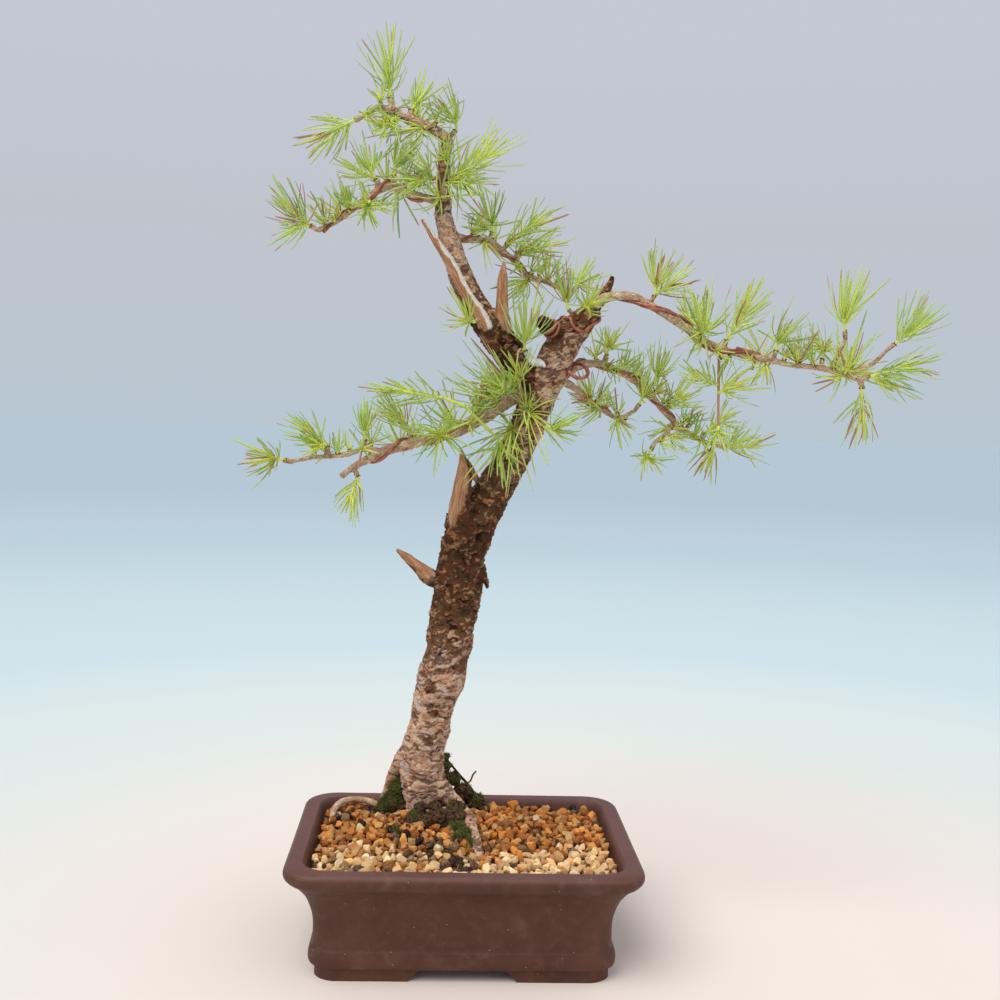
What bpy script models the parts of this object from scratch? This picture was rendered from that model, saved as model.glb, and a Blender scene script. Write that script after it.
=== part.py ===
"""Larch bonsai in a shallow rounded clay pot, with its training wires.

Lengths are in millimetres, in a frame whose zero is the middle of the pot on the table: X to the
right in the front view, Y to the back, Z up. Meshes are made in metres under one empty, which puts
the zero of the whole object under the middle of its box.
"""
import math
import random

import bmesh
import bpy
import numpy as np
from mathutils import Vector, noise

# Driving dimensions of the whole object
MM = 0.001
GAP = 0.35
BOX_MIDDLE = (59.9, 9.0)

# The pot: outer size of the lip, plan corners and wall
POT_LENGTH = 170.0
POT_WIDTH = 130.0
CORNER_RADIUS = 17.0
CORNER_LOSS = 0.42
CORNER_STEPS = 5
FLOOR_TOP = 12.5
RECESS_HEIGHT = 6.0
FOOT_INSET = 19.5
RECESS_INSET = 19.2
DRAIN_RADIUS = 7.5
DRAIN_SPACING = 76.0
DRAIN_CUT = (1.0, 16.0)
DRAIN_SIDES = 14
ARCH_FOOT = -1.0
ARCH_HEIGHT = 5.6
FRONT_ARCH = (42.0, 52.0)
SIDE_ARCH = (30.0, 40.0)

# Points (inset from the lip, height) up the outside of the pot and down its inside
POT_OUTSIDE = [
    (14.6, 0.0), (14.4, 5.4), (12.2, 6.9), (11.6, 10.3), (12.3, 13.7), (13.5, 15.4),
    (13.6, 26.0), (12.4, 32.5), (9.8, 39.0), (5.4, 44.8), (1.7, 47.8),
    (0.1, 50.4), (0.4, 53.4), (2.0, 55.0),
]
POT_INSIDE = [(8.4, 55.0), (9.5, 53.6), (10.5, 50.0), (18.2, 36.0), (20.8, 21.0), (22.5, 12.5)]

# The soil: height at the wall, the mound round the trunk, grain relief
SOIL_EDGE = 50.0
MOUND_HEIGHT = 6.0
MOUND_MIDDLE = (-16.0, 24.0)
MOUND_REACH = 27.0
GRAIN_SPACING = 6.9
GRAIN_RELIEF = (0.44, 1.21)
GRAIN_SHIFT = 1.0
RISE_FROM_WALL = 0.6

# The plastic mesh laid over each drain hole
SCREEN_SIDE = 23.0
SCREEN_THICKNESS = 0.9
SCREEN_HOLES = 2

# Limbs of the tree: sides, spacing of the rings, knobbliness, then (x, y, z, radius) points
LIMBS = {
    "trunk": (12, 14.0, 0.11, [
        (-21, 30, 43, 10.5), (-20, 29, 56, 10.5), (-22, 28, 74, 11.0), (-21, 27, 92, 11.2),
        (-17, 26, 113, 11.2), (-13, 26, 129, 12.3), (-10, 25, 144, 12.0), (-7, 25, 170, 13.0),
        (-4, 25, 192, 12.6), (0, 25, 206, 12.0), (7, 25, 220, 11.0), (15, 25, 235, 9.8),
        (22, 25, 249, 9.2), (28, 25, 264, 9.2), (35, 25, 282, 9.8), (41, 25, 296, 9.3),
        (46, 25, 306, 8.8), (52, 25, 314, 7.8), (58, 25, 320, 6.4), (61, 25, 323, 4.6)]),
    "apex": (8, 11.0, 0.09, [
        (32, 25, 276, 8.0), (25, 24, 288, 8.2), (16, 22, 300, 8.0), (7, 20, 309, 7.8),
        (-4, 17, 326, 6.8), (-11, 16, 341, 6.0), (-18, 15, 362, 4.7), (-19, 14, 372, 4.2),
        (-19, 12, 394, 3.2), (-18, 12, 402, 3.0), (-28, 11, 408, 2.7), (-38, 10, 411, 2.5),
        (-46, 10, 416, 2.1)]),
    "right": (6, 12.0, 0.07, [
        (52, 25, 316, 4.4), (62, 24, 326, 3.2), (70, 23, 329, 2.5), (80, 21, 329, 2.2),
        (88, 20, 325, 2.2), (96, 18, 320, 2.2), (106, 16, 314, 2.1), (114, 14, 308, 2.0),
        (125, 12, 303, 2.0), (138, 10, 300, 1.9), (150, 8, 298, 1.8), (159, 6, 296, 1.7),
        (173, 3, 295, 1.6), (184, 1, 292, 1.5), (193, 0, 290, 1.3)]),
    "right_twig": (5, 5.0, 0.05, [
        (178, 2, 294, 1.4), (181, 1, 302, 1.3), (184, 0, 309, 1.1)]),
    "right_end_twig": (5, 5.0, 0.05, [
        (186, 1, 292, 1.4), (197, -1, 297, 1.3), (205, -2, 305, 1.1)]),
    "lower_right": (6, 12.0, 0.08, [
        (30, 25, 282, 6.0), (38, 28, 286, 5.2), (46, 32, 290, 4.0), (56, 37, 294, 2.4),
        (68, 42, 295, 2.0), (82, 48, 289, 1.9), (94, 52, 282, 1.8), (103, 56, 272, 1.8),
        (115, 60, 262, 1.7), (126, 62, 256, 1.5), (136, 64, 253, 1.3)]),
    "lower_right_fork": (5, 12.0, 0.07, [
        (44, 31, 286, 3.0), (54, 38, 281, 1.9), (64, 46, 274, 1.5), (78, 52, 267, 1.4),
        (88, 56, 271, 1.2)]),
    "lower_right_twig": (5, 6.0, 0.05, [
        (110, 59, 266, 1.4), (105, 56, 258, 1.2), (99, 54, 254, 1.1)]),
    "middle": (5, 12.0, 0.08, [
        (-16, 15, 357, 2.8), (-9, 20, 355, 2.2), (5, 27, 355, 1.9), (12, 31, 351, 1.8),
        (18, 34, 347, 1.7), (25, 37, 340, 1.6), (36, 40, 337, 1.5), (44, 42, 334, 1.3),
        (51, 44, 333, 1.2)]),
    "upper_left": (6, 12.0, 0.08, [
        (-19, 14, 372, 3.0), (-26, 13, 373, 2.4), (-35, 12, 375, 2.2), (-44, 10, 378, 2.0),
        (-50, 9, 376, 1.9), (-57, 8, 371, 1.8), (-70, 6, 360, 1.6), (-80, 4, 354, 1.4)]),
    "lower_left": (7, 12.0, 0.09, [
        (24, 24, 279, 5.2), (15, 18, 273, 4.6), (5, 13, 266, 4.0), (-9, 7, 258, 3.6),
        (-19, 3, 255, 3.0), (-31, -1, 251, 2.6), (-42, -4, 248, 2.5), (-50, -7, 244, 2.3),
        (-59, -9, 239, 1.9), (-65, -11, 234, 1.7)]),
    "lower_left_fork": (5, 12.0, 0.07, [
        (-45, -5, 246, 2.0), (-54, -8, 248, 1.6), (-62, -10, 245, 1.4), (-71, -12, 244, 1.3),
        (-80, -14, 243, 1.2), (-88, -16, 241, 1.1)]),
    "apex_left": (5, 5.0, 0.06, [
        (-42, 10, 414, 1.9), (-52, 10, 416, 1.7), (-60, 9, 411, 1.3)]),
    "low_jin": (6, 12.0, 0.12, [
        (-4, 20, 170, 6.5), (-13, 16, 179, 5.4), (-22, 13, 184, 4.3), (-30, 12, 191, 3.1),
        (-38, 11, 197, 1.0)]),
    "split_shard": (6, 12.0, 0.12, [
        (-6, 20, 192, 7.0), (-7, 16, 206, 6.4), (-6, 14, 222, 5.6), (-4.5, 13, 236, 4.2),
        (-6.5, 13, 249, 0.8)]),
    "long_jin": (5, 12.0, 0.08, [
        (10, 15, 298, 4.2), (2, 13, 315, 3.6), (-6, 11, 326, 3.2), (-12, 10, 336, 2.9),
        (-18, 9, 346, 2.5), (-29.5, 7, 362, 1.1)]),
    "cut_stub": (5, 12.0, 0.10, [
        (19, 20, 298, 4.2), (13, 16, 316, 3.4), (12, 15, 332, 3.0), (12.4, 15, 344, 1.0)]),
    "wired_stub": (6, 12.0, 0.10, [
        (45, 22, 307, 4.4), (37, 17, 311, 4.2), (31, 13, 315, 3.6)]),
    "top_stub": (5, 12.0, 0.10, [
        (59, 25, 320, 3.2), (66, 28, 331, 2.6), (70, 30, 340, 1.4)]),
    "root_left": (7, 12.0, 0.10, [
        (-22, 28, 98, 5.6), (-28.5, 30, 90, 4.6), (-35, 33, 80, 3.4), (-39, 37, 68, 2.8),
        (-42, 41, 57, 2.4), (-44, 43, 46, 2.2)]),
    "root_front": (7, 12.0, 0.10, [
        (-15, 26, 72, 6.0), (-5, 22, 63, 4.6), (1, 16, 58, 4.4), (3, 8, 58, 4.1),
        (4, 0, 56, 3.3), (6, -10, 54, 2.9), (7, -19, 51, 2.7), (8, -26, 46, 2.2)]),
    "root_right": (6, 14.0, 0.10, [
        (-18, 31, 66, 7.0), (-6, 36, 61, 5.2), (6, 41, 55, 3.8), (15, 45, 47, 2.8)]),
    "root_back": (6, 14.0, 0.10, [
        (-22, 33, 68, 7.0), (-29, 42, 60, 4.8), (-33, 48, 50, 3.2)]),
    "root_loop": (5, 9.0, 0.05, [
        (-43, 42, 54, 1.6), (-54, 44, 57, 1.7), (-64, 41, 57, 1.8), (-68, 33, 55, 1.7),
        (-69, 26, 49, 1.5)]),
}
KNOB_SIZES = (11.0, 5.0)
FINE_KNOBS = 0.6
ROOT_CLEARANCE = 0.6
BURIED = ["trunk", "root_left", "root_front", "root_right", "root_back", "root_loop"]

# Training wires: radius, then for each limb its stretch (start, end), pitch and one front crossing
WIRES = {
    "wire_right_outer": (0.85, [("right", 19.0, 104.0, 45.0, 44.0)]),
    "wire_right_inner": (0.85, [("right", 20.0, 100.0, 45.0, 47.4)]),
    "wire_lower_right": (0.80, [("lower_right", 18.0, 106.0, 32.0, 86.0)]),
    "wire_lower_right_fork": (0.65, [("lower_right_fork", 16.0, 50.0, 24.0, 30.0)]),
    "wire_middle": (0.75, [("middle", 7.0, 60.0, 30.0, 9.0)]),
    "wire_lower_left": (0.85, [("lower_left", 34.0, 90.0, 30.0, 48.0)]),
    "wire_upper_left": (0.80, [("upper_left", 10.0, 68.0, 28.0, 62.0)]),
}
WIRE_SIDES = 5
COIL_SLACK = 1.08
POINTS_PER_TURN = 7
SETTLING_ROUNDS = 30

# Sprays: a place on the wood, then shoots as (start, stem, needles, needle length, opening)
SPRAYS = {
    "spray_apex_leader": ((-48, 10, 420), [((0, 0, 0), (-1, -1, 13), 15, 20, 62)]),
    "spray_apex_right": ((-40, 10, 412), [((0, 0, 0), (2, 2, 4), 11, 15, 70)]),
    "spray_apex_left": ((-60, 9, 410), [((0, 0, 0), (-11, -4, -7), 17, 18, 62)]),
    "spray_apex_front": ((-43, 10, 412), [((0, 0, 0), (-6, -8, -6), 13, 15, 62)]),
    "spray_apex_spur": ((-18, 12, 403), [((0, 0, 0), (-1, -1, 5), 13, 15, 68)]),
    "spray_crown_right": ((-18, 13, 379), [
        ((0, 0, 0), (13, -6, 10), 17, 20, 60), ((0, 0, 0), (2, -4, -2), 7, 16, 80)]),
    "spray_crown_front": ((-18, 12, 388), [
        ((0, 0, 0), (-10, -9, -5), 12, 15, 62), ((0, 0, 0), (-3, -5, 4), 8, 15, 60)]),
    "spray_crown_back": ((-19, 13, 384), [((0, 0, 0), (5, 9, 4), 13, 17, 66)]),
    "spray_upper_left_a": ((-42, 11, 378), [((0, 0, 0), (1, -1, 4), 12, 14, 62)]),
    "spray_upper_left_b": ((-51, 9, 376), [
        ((0, 0, 0), (-3, -1, 5), 9, 15, 60), ((0, 0, 0), (-9, -2, 2), 8, 13, 60)]),
    "spray_upper_left_c": ((-55, 8, 372), [((0, 0, 0), (-1, -5, -4), 15, 17, 95)]),
    "spray_upper_left_tip": ((-80, 4, 354), [
        ((0, 0, 0), (-8, -3, 5), 15, 19, 72), ((0, 0, 0), (-7, -2, -3), 7, 15, 60)]),
    "spray_middle_a": ((3, 26, 355), [
        ((0, 0, 0), (-1, -2, 4), 10, 18, 70), ((0, 0, 0), (-4, -4, 0), 6, 13, 60)]),
    "spray_middle_b": ((13, 31, 351), [((0, 0, 0), (13, -3, 10), 16, 17, 60)]),
    "spray_middle_c": ((21, 35, 345), [((0, 0, 0), (12, -4, 4), 12, 16, 60)]),
    "spray_middle_end": ((51, 44, 333), [((0, 0, 0), (2, 4, 3), 12, 16, 80)]),
    "spray_fork_left": ((-2, 14, 318), [((0, 0, 0), (-4, -4, 1), 12, 16, 75)]),
    "spray_knob_front": ((58, 25, 321), [((0, 0, 0), (-1, -5, 1), 17, 15, 100)]),
    "spray_knob_top": ((55, 25, 317), [((0, 0, 0), (-1, 1, 6), 12, 16, 70)]),
    "spray_right_a": ((90, 19, 327), [
        ((0, 0, 0), (0, -1, 5), 10, 18, 55), ((0, 0, 0), (8, -2, 5), 10, 16, 60)]),
    "spray_right_b": ((112, 15, 309), [
        ((0, 0, 0), (-1, -5, 2), 14, 22, 100), ((0, 0, 0), (0, 1, 7), 9, 19, 50)]),
    "spray_right_c": ((129, 12, 302), [((0, 0, 0), (8, -4, 15), 14, 18, 55)]),
    "spray_right_d": ((149, 8, 298), [((0, 0, 0), (1, -1, 4), 12, 17, 58)]),
    "spray_right_e": ((168, 4, 295), [((0, 0, 0), (0, -1, 4), 12, 13, 72)]),
    "spray_right_twig": ((184, 0, 309), [((0, 0, 0), (-1, -1, 6), 14, 20, 62)]),
    "spray_right_end_twig": ((205, -2, 305), [((0, 0, 0), (8, -1, 7), 17, 18, 58)]),
    "spray_right_end_front": ((188, 1, 291), [
        ((0, 0, 0), (-2, -5, 1), 13, 18, 100), ((0, 0, 0), (-8, -5, -5), 5, 15, 60)]),
    "spray_right_end_down": ((191, 0, 290), [((0, 0, 0), (1, -1, -17), 13, 17, 60)]),
    "spray_right_end_tip": ((193, 0, 290), [
        ((0, 0, 0), (19, -2, 6), 16, 18, 55), ((0, 0, 0), (7, 3, -4), 6, 15, 55)]),
    "spray_right_back": ((108, 16, 313), [((0, 0, 0), (2, 6, 3), 13, 16, 75)]),
    "spray_hanging_twig": ((125, 12, 303), [
        ((0, 0, 0), (1, 0, -36), 0, 0, 0), ((0, 0, -12), (-13, -3, 4), 11, 12, 62),
        ((0, 0, -16), (4, -3, 2), 10, 17, 90), ((1, 0, -33), (0, -1, -3), 9, 11, 95)]),
    "spray_lower_right_a": ((67, 42, 295), [((0, 0, 0), (1, -1, 4), 12, 14, 75)]),
    "spray_lower_right_b": ((91, 51, 284), [((0, 0, 0), (1, -1, 5), 12, 14, 75)]),
    "spray_lower_right_c": ((103, 56, 272), [((0, 0, 0), (4, -4, 4), 12, 16, 80)]),
    "spray_lower_right_d": ((121, 61, 259), [((0, 0, 0), (9, -4, 9), 12, 15, 62)]),
    "spray_lower_right_twig": ((99, 54, 254), [((0, 0, 0), (-2, -1, -4), 14, 14, 90)]),
    "spray_lower_right_tip": ((136, 64, 253), [
        ((0, 0, 0), (12, -2, 0), 15, 15, 66), ((0, 0, 0), (3, 6, 3), 6, 14, 60)]),
    "spray_fork_end": ((88, 56, 271), [((0, 0, 0), (2, -2, 4), 14, 15, 85)]),
    "spray_lower_left_tip": ((-88, -16, 241), [((0, 0, 0), (-5, -3, 1), 18, 19, 95)]),
    "spray_lower_left_a": ((-74, -12, 244), [
        ((0, 0, 0), (-9, -2, 7), 14, 14, 60), ((0, 0, 0), (-3, -5, 0), 6, 12, 60)]),
    "spray_lower_left_b": ((-53, -8, 248), [((0, 0, 0), (0, -1, 4), 11, 12, 75)]),
    "spray_lower_left_c": ((-32, -1, 251), [((0, 0, 0), (-7, -3, 8), 13, 15, 62)]),
    "spray_lower_left_front": ((-24, 1, 253), [((0, 0, 0), (0, -5, 0), 18, 20, 100)]),
    "spray_lower_left_down": ((-57, -9, 240), [((0, 0, 0), (-4, -1, -9), 13, 13, 66)]),
    "spray_green_shoot": ((17, 25, 259), [
        ((0, 0, 0), (-6, -8, 5), 0, 0, 0), ((-6, -8, 5), (-13, -9, 12), 0, 0, 0),
        ((-19, -17, 17), (-11, -4, 4), 0, 0, 0), ((-30, -21, 21), (-25, -6, 3), 16, 17, 62),
        ((-1, -2, 1), (0, -3, -4), 10, 17, 75)]),
    "spray_fork_up": ((20, 22, 296), [((0, 0, 0), (0, -3, 5), 16, 22, 75)]),
    "spray_fork_front": ((14, 18, 273), [
        ((0, 0, 0), (-2, -6, 2), 11, 15, 95), ((0, 0, 0), (-8, -5, 5), 7, 14, 60)]),
    "spray_trunk_front": ((25, 25, 265), [((0, 0, 0), (4, -5, -1), 11, 15, 75)]),
}
PEG_REACH = 2.6
PEG_RADII = (1.5, 1.2)
PEG_SIDES = 4
PEG_STRAIGHTENING = 0.9
STEM_RADII = (1.05, 0.8)
STEM_STRAIGHT = 1.2
STEM_SIDES = 5
BAND_HEIGHT = 2.2
NEEDLE_RADIUS = 0.45
NEEDLE_LENGTHS = (0.78, 1.08)
NEEDLE_CURVES = (0.15, 0.8)
NEEDLE_CLOSING = 0.80
CLOSING_POWER = 1.15
GOLDEN_ANGLE = math.radians(137.5)
NEEDLE_CLEARANCE = 0.3
SAMPLES_PER_HALF = 7
TRIES = 14
FIRST_TURN = 0.06
MORE_TURN = 0.03
SEED = 7


# Shared helpers: materials, meshes, smooth routes, tubes and unions
def make_material(name, colour, roughness, metallic=0.0):
    material = bpy.data.materials.new(name)
    material.use_nodes = True
    shader = material.node_tree.nodes["Principled BSDF"]
    shader.inputs["Base Color"].default_value = (*colour, 1.0)
    shader.inputs["Roughness"].default_value = roughness
    shader.inputs["Metallic"].default_value = metallic
    return material


def make_object(name, vertices, faces, material=None):
    """One object from millimetre vertices, with its faces turned outwards."""
    shape = bmesh.new()
    corners = [shape.verts.new(Vector(vertex) * MM) for vertex in vertices]
    for face in faces:
        shape.faces.new([corners[index] for index in face])
    bmesh.ops.recalc_face_normals(shape, faces=shape.faces)
    mesh = bpy.data.meshes.new(name)
    shape.to_mesh(mesh)
    shape.free()
    if material:
        mesh.materials.append(material)
    thing = bpy.data.objects.new(name, mesh)
    bpy.context.scene.collection.objects.link(thing)
    return thing


def unit(vector):
    vector = np.asarray(vector, float)
    return vector / np.linalg.norm(vector)


def smooth_route(points, spacing):
    """Points about `spacing` apart on a Catmull-Rom curve; any radius is carried along."""
    knots = np.array(points, float)
    knots = np.vstack([2 * knots[0] - knots[1], knots, 2 * knots[-1] - knots[-2]])
    route = []
    for index in range(1, len(knots) - 2):
        before, start, end, after = knots[index - 1:index + 3]
        steps = max(1, round(np.linalg.norm((end - start)[:3]) / spacing))
        for t in np.arange(steps) / steps:
            route.append(0.5 * (2 * start + (end - before) * t
                                + (2 * before - 5 * start + 4 * end - after) * t ** 2
                                + (3 * start - before - 3 * end + after) * t ** 3))
    route.append(knots[-2])
    return np.array(route)


def frames_along(centres):
    """Tangents and two side vectors at each point, turned as little as possible on the way."""
    tangents = np.gradient(centres, axis=0)
    tangents /= np.linalg.norm(tangents, axis=1)[:, None]
    seed = np.array([0, -1, 0]) if abs(tangents[0][1]) < 0.9 else np.array([0, 0, 1])
    side = unit(np.cross(tangents[0], seed))
    sides = []
    for tangent in tangents:
        side = unit(side - tangent * (side @ tangent))
        sides.append(side)
    sides = np.array(sides)
    return tangents, sides, np.cross(tangents, sides)


def skin(rings, sides):
    """Triangles between rings of points, the same way on every tube, and a cap at either end."""
    faces = [list(range(sides))[::-1]]
    for ring in range(rings - 1):
        for index in range(sides):
            after = (index + 1) % sides
            low, high = ring * sides, (ring + 1) * sides
            faces.append((low + index, low + after, high + after))
            faces.append((low + index, high + after, high + index))
    faces.append(list(range((rings - 1) * sides, rings * sides)))
    return faces


def tube(name, route, sides, knobs=0.0, grow=0.0):
    """A closed tube along (x, y, z, radius) points, with knobs on its surface."""
    centres = route[:, :3].copy()
    tangents, across, up = frames_along(centres)
    centres[0] -= tangents[0] * grow
    centres[-1] += tangents[-1] * grow
    vertices = []
    for centre, radius, first, second in zip(centres, route[:, 3], across, up):
        for turn in np.arange(sides) * math.tau / sides:
            outwards = first * math.cos(turn) + second * math.sin(turn)
            place = Vector(centre + outwards * radius)
            swell = noise.noise(place / KNOB_SIZES[0]) + FINE_KNOBS * noise.noise(place / KNOB_SIZES[1])
            reach = radius * (1 + knobs * swell) + grow
            vertices.append(centre + outwards * reach)
    return make_object(name, vertices, skin(len(centres), sides))


def fuse(base, others, operation="UNION", solver="EXACT"):
    """Join the others to the base, or cut them out of it, as one closed body."""
    group = bpy.data.collections.new(base.name + "_group")
    bpy.context.scene.collection.children.link(group)
    for other in others:
        bpy.context.scene.collection.objects.unlink(other)
        group.objects.link(other)
    join = base.modifiers.new("Fuse", "BOOLEAN")
    join.operation = operation
    join.operand_type = "COLLECTION"
    join.collection = group
    join.solver = solver
    evaluated = base.evaluated_get(bpy.context.evaluated_depsgraph_get())
    result = bpy.data.meshes.new_from_object(evaluated)
    base.modifiers.clear()
    materials = [slot for slot in base.data.materials if slot]
    base.data = result
    base.data.materials.clear()
    for material in materials:
        base.data.materials.append(material)
    for other in others:
        bpy.data.objects.remove(other)
    bpy.data.collections.remove(group)
    keep_largest_body(base.data)
    return base


def keep_largest_body(mesh):
    """Drop the scraps that a cut can leave loose beside the body itself."""
    shape = bmesh.new()
    shape.from_mesh(mesh)
    unseen = set(shape.verts)
    bodies = []
    while unseen:
        body = {unseen.pop()}
        border = list(body)
        while border:
            for edge in border.pop().link_edges:
                for vertex in edge.verts:
                    if vertex in unseen:
                        unseen.discard(vertex)
                        body.add(vertex)
                        border.append(vertex)
        bodies.append(body)
    bodies.sort(key=len)
    for scrap in bodies[:-1]:
        bmesh.ops.delete(shape, geom=list(scrap), context="VERTS")
    shape.to_mesh(mesh)
    shape.free()


# The pot: one lofted body of baked clay, with four feet and two drain holes
def plan_ring(inset, height):
    """The pot's rounded plan, moved in by `inset`, as corner points at one height."""
    half_x = POT_LENGTH / 2 - inset
    half_y = POT_WIDTH / 2 - inset
    radius = CORNER_RADIUS - CORNER_LOSS * inset
    ring = []
    for corner, (sign_x, sign_y) in enumerate([(1, 1), (-1, 1), (-1, -1), (1, -1)]):
        for step in range(CORNER_STEPS + 1):
            turn = math.radians(90 * (corner + step / CORNER_STEPS))
            x = sign_x * (half_x - radius) + radius * math.cos(turn)
            y = sign_y * (half_y - radius) + radius * math.sin(turn)
            ring.append((x, y, height))
    return ring


def loft(name, rings, material):
    """A closed body through rings with the same number of points, flat at both ends."""
    vertices = [point for ring in rings for point in ring]
    return make_object(name, vertices, skin(len(rings), len(rings[0])), material)


def arch_cutter(name, widths, length, along_x):
    """A long trapezium that opens the foot ring on two opposite sides."""
    top, bottom = widths[0] / 2, widths[1] / 2
    slope = (bottom - top) / ARCH_HEIGHT
    bottom -= slope * ARCH_FOOT
    profile = [(-bottom, ARCH_FOOT), (bottom, ARCH_FOOT), (top, ARCH_HEIGHT), (-top, ARCH_HEIGHT)]
    rings = []
    for end in (-length / 2, length / 2):
        if along_x:
            rings.append([(end, across, height) for across, height in profile])
        else:
            rings.append([(across, end, height) for across, height in profile])
    return loft(name, rings, None)


def make_pot():
    clay = make_material("fired_clay", (0.17, 0.10, 0.09), 0.72)
    rings = [plan_ring(RECESS_INSET, RECESS_HEIGHT), plan_ring(FOOT_INSET, 0.0)]
    rings += [plan_ring(inset, height) for inset, height in POT_OUTSIDE + POT_INSIDE]
    pot = loft("pot", rings, clay)
    cutters = [
        arch_cutter("front_arch", FRONT_ARCH, POT_WIDTH, False),
        arch_cutter("side_arch", SIDE_ARCH, POT_LENGTH, True),
    ]
    for side in (-1, 1):
        ends = [(side * DRAIN_SPACING / 2, 0, height, DRAIN_RADIUS) for height in DRAIN_CUT]
        cutters.append(tube("drain", np.array(ends, float), DRAIN_SIDES))
    return fuse(pot, cutters, "DIFFERENCE")


# The drain screens: a square of plastic mesh over each hole in the pot's floor
def make_screen(name, middle_x):
    plastic = make_material("screen_plastic", (0.03, 0.03, 0.03), 0.5)
    cells = 2 * SCREEN_HOLES + 1
    half = SCREEN_SIDE / 2
    lines = np.linspace(-half, half, cells + 1)
    low = FLOOR_TOP + GAP
    vertices = []
    for height in (low, low + SCREEN_THICKNESS):
        vertices += [(middle_x + x, y, height) for y in lines for x in lines]
    layer = (cells + 1) ** 2
    solid = {(i, j) for i in range(cells) for j in range(cells) if not (i % 2 and j % 2)}
    faces = []
    for i, j in sorted(solid):
        corners = [j * (cells + 1) + i, j * (cells + 1) + i + 1,
                   (j + 1) * (cells + 1) + i + 1, (j + 1) * (cells + 1) + i]
        faces.append(corners[::-1])
        faces.append([corner + layer for corner in corners])
        neighbours = [(i, j - 1), (i + 1, j), (i, j + 1), (i - 1, j)]
        for number, neighbour in enumerate(neighbours):
            if neighbour not in solid:
                start, end = corners[number], corners[(number + 1) % 4]
                faces.append((start, end, end + layer, start + layer))
    return make_object(name, vertices, faces, plastic)


# The soil: a fill that follows the pot's inside, with a mound and coarse grains on top
def plan_point(u, v, inset):
    """A point of the unit square carried to the pot's rounded plan, moved in by `inset`."""
    half_x = POT_LENGTH / 2 - inset
    half_y = POT_WIDTH / 2 - inset
    radius = CORNER_RADIUS - CORNER_LOSS * inset
    x, y = abs(u) * half_x, abs(v) * half_y
    a = (x - (half_x - radius)) / radius
    b = (y - (half_y - radius)) / radius
    if a > 0 and b > 0:
        shrink = max(a, b) / math.hypot(a, b)
        x = half_x - radius + a * shrink * radius
        y = half_y - radius + b * shrink * radius
    return math.copysign(x, u), math.copysign(y, v)


def soil_height(x, y):
    away = (x - MOUND_MIDDLE[0]) ** 2 + (y - MOUND_MIDDLE[1]) ** 2
    return SOIL_EDGE + RISE_FROM_WALL + MOUND_HEIGHT * math.exp(-away / (2 * MOUND_REACH ** 2))


def make_soil(roots):
    earth = make_material("bonsai_soil", (0.27, 0.14, 0.07), 0.95)
    draw = random.Random(SEED)
    wall = [(inset + GAP, height) for inset, height in POT_INSIDE[2:-1]]
    wall.append((POT_INSIDE[-1][0] + GAP, FLOOR_TOP + GAP))
    columns = round((POT_LENGTH - 2 * wall[0][0]) / GRAIN_SPACING)
    rows = round((POT_WIDTH - 2 * wall[0][0]) / GRAIN_SPACING)
    vertices = []
    for row in range(rows + 1):
        for column in range(columns + 1):
            u, v = 2 * column / columns - 1, 2 * row / rows - 1
            x, y = plan_point(u, v, wall[0][0])
            height = SOIL_EDGE
            if 0 < column < columns and 0 < row < rows:
                x += draw.uniform(-GRAIN_SHIFT, GRAIN_SHIFT)
                y += draw.uniform(-GRAIN_SHIFT, GRAIN_SHIFT)
                bump = draw.uniform(*GRAIN_RELIEF)
                height = soil_height(x, y) + (bump if (row + column) % 2 else -bump)
            vertices.append((x, y, height))
    faces = []
    for row in range(rows):
        for column in range(columns):
            corner = row * (columns + 1) + column
            faces.append((corner, corner + 1, corner + columns + 2))
            faces.append((corner, corner + columns + 2, corner + columns + 1))
    edge = [(column, 0) for column in range(columns)]
    edge += [(columns, row) for row in range(rows)]
    edge += [(column, rows) for column in range(columns, 0, -1)]
    edge += [(0, row) for row in range(rows, 0, -1)]
    above = [row * (columns + 1) + column for column, row in edge]
    for inset, height in wall[1:]:
        below = []
        for column, row in edge:
            x, y = plan_point(2 * column / columns - 1, 2 * row / rows - 1, inset)
            below.append(len(vertices))
            vertices.append((x, y, height))
        for index in range(len(edge)):
            after = (index + 1) % len(edge)
            faces.append((above[after], above[index], below[index]))
            faces.append((above[after], below[index], below[after]))
        above = below
    faces.append(above)
    soil = make_object("soil", vertices, faces, earth)
    cutters = list(roots)
    for side in (-1, 1):
        half = SCREEN_SIDE / 2 + GAP
        rings = []
        for height in (FLOOR_TOP - 1, FLOOR_TOP + SCREEN_THICKNESS + 2 * GAP):
            middle = side * DRAIN_SPACING / 2
            rings.append([(middle - half, -half, height), (middle + half, -half, height),
                          (middle + half, half, height), (middle - half, half, height)])
        cutters.append(loft("screen_bed", rings, None))
    return fuse(soil, cutters, "DIFFERENCE")


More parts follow.
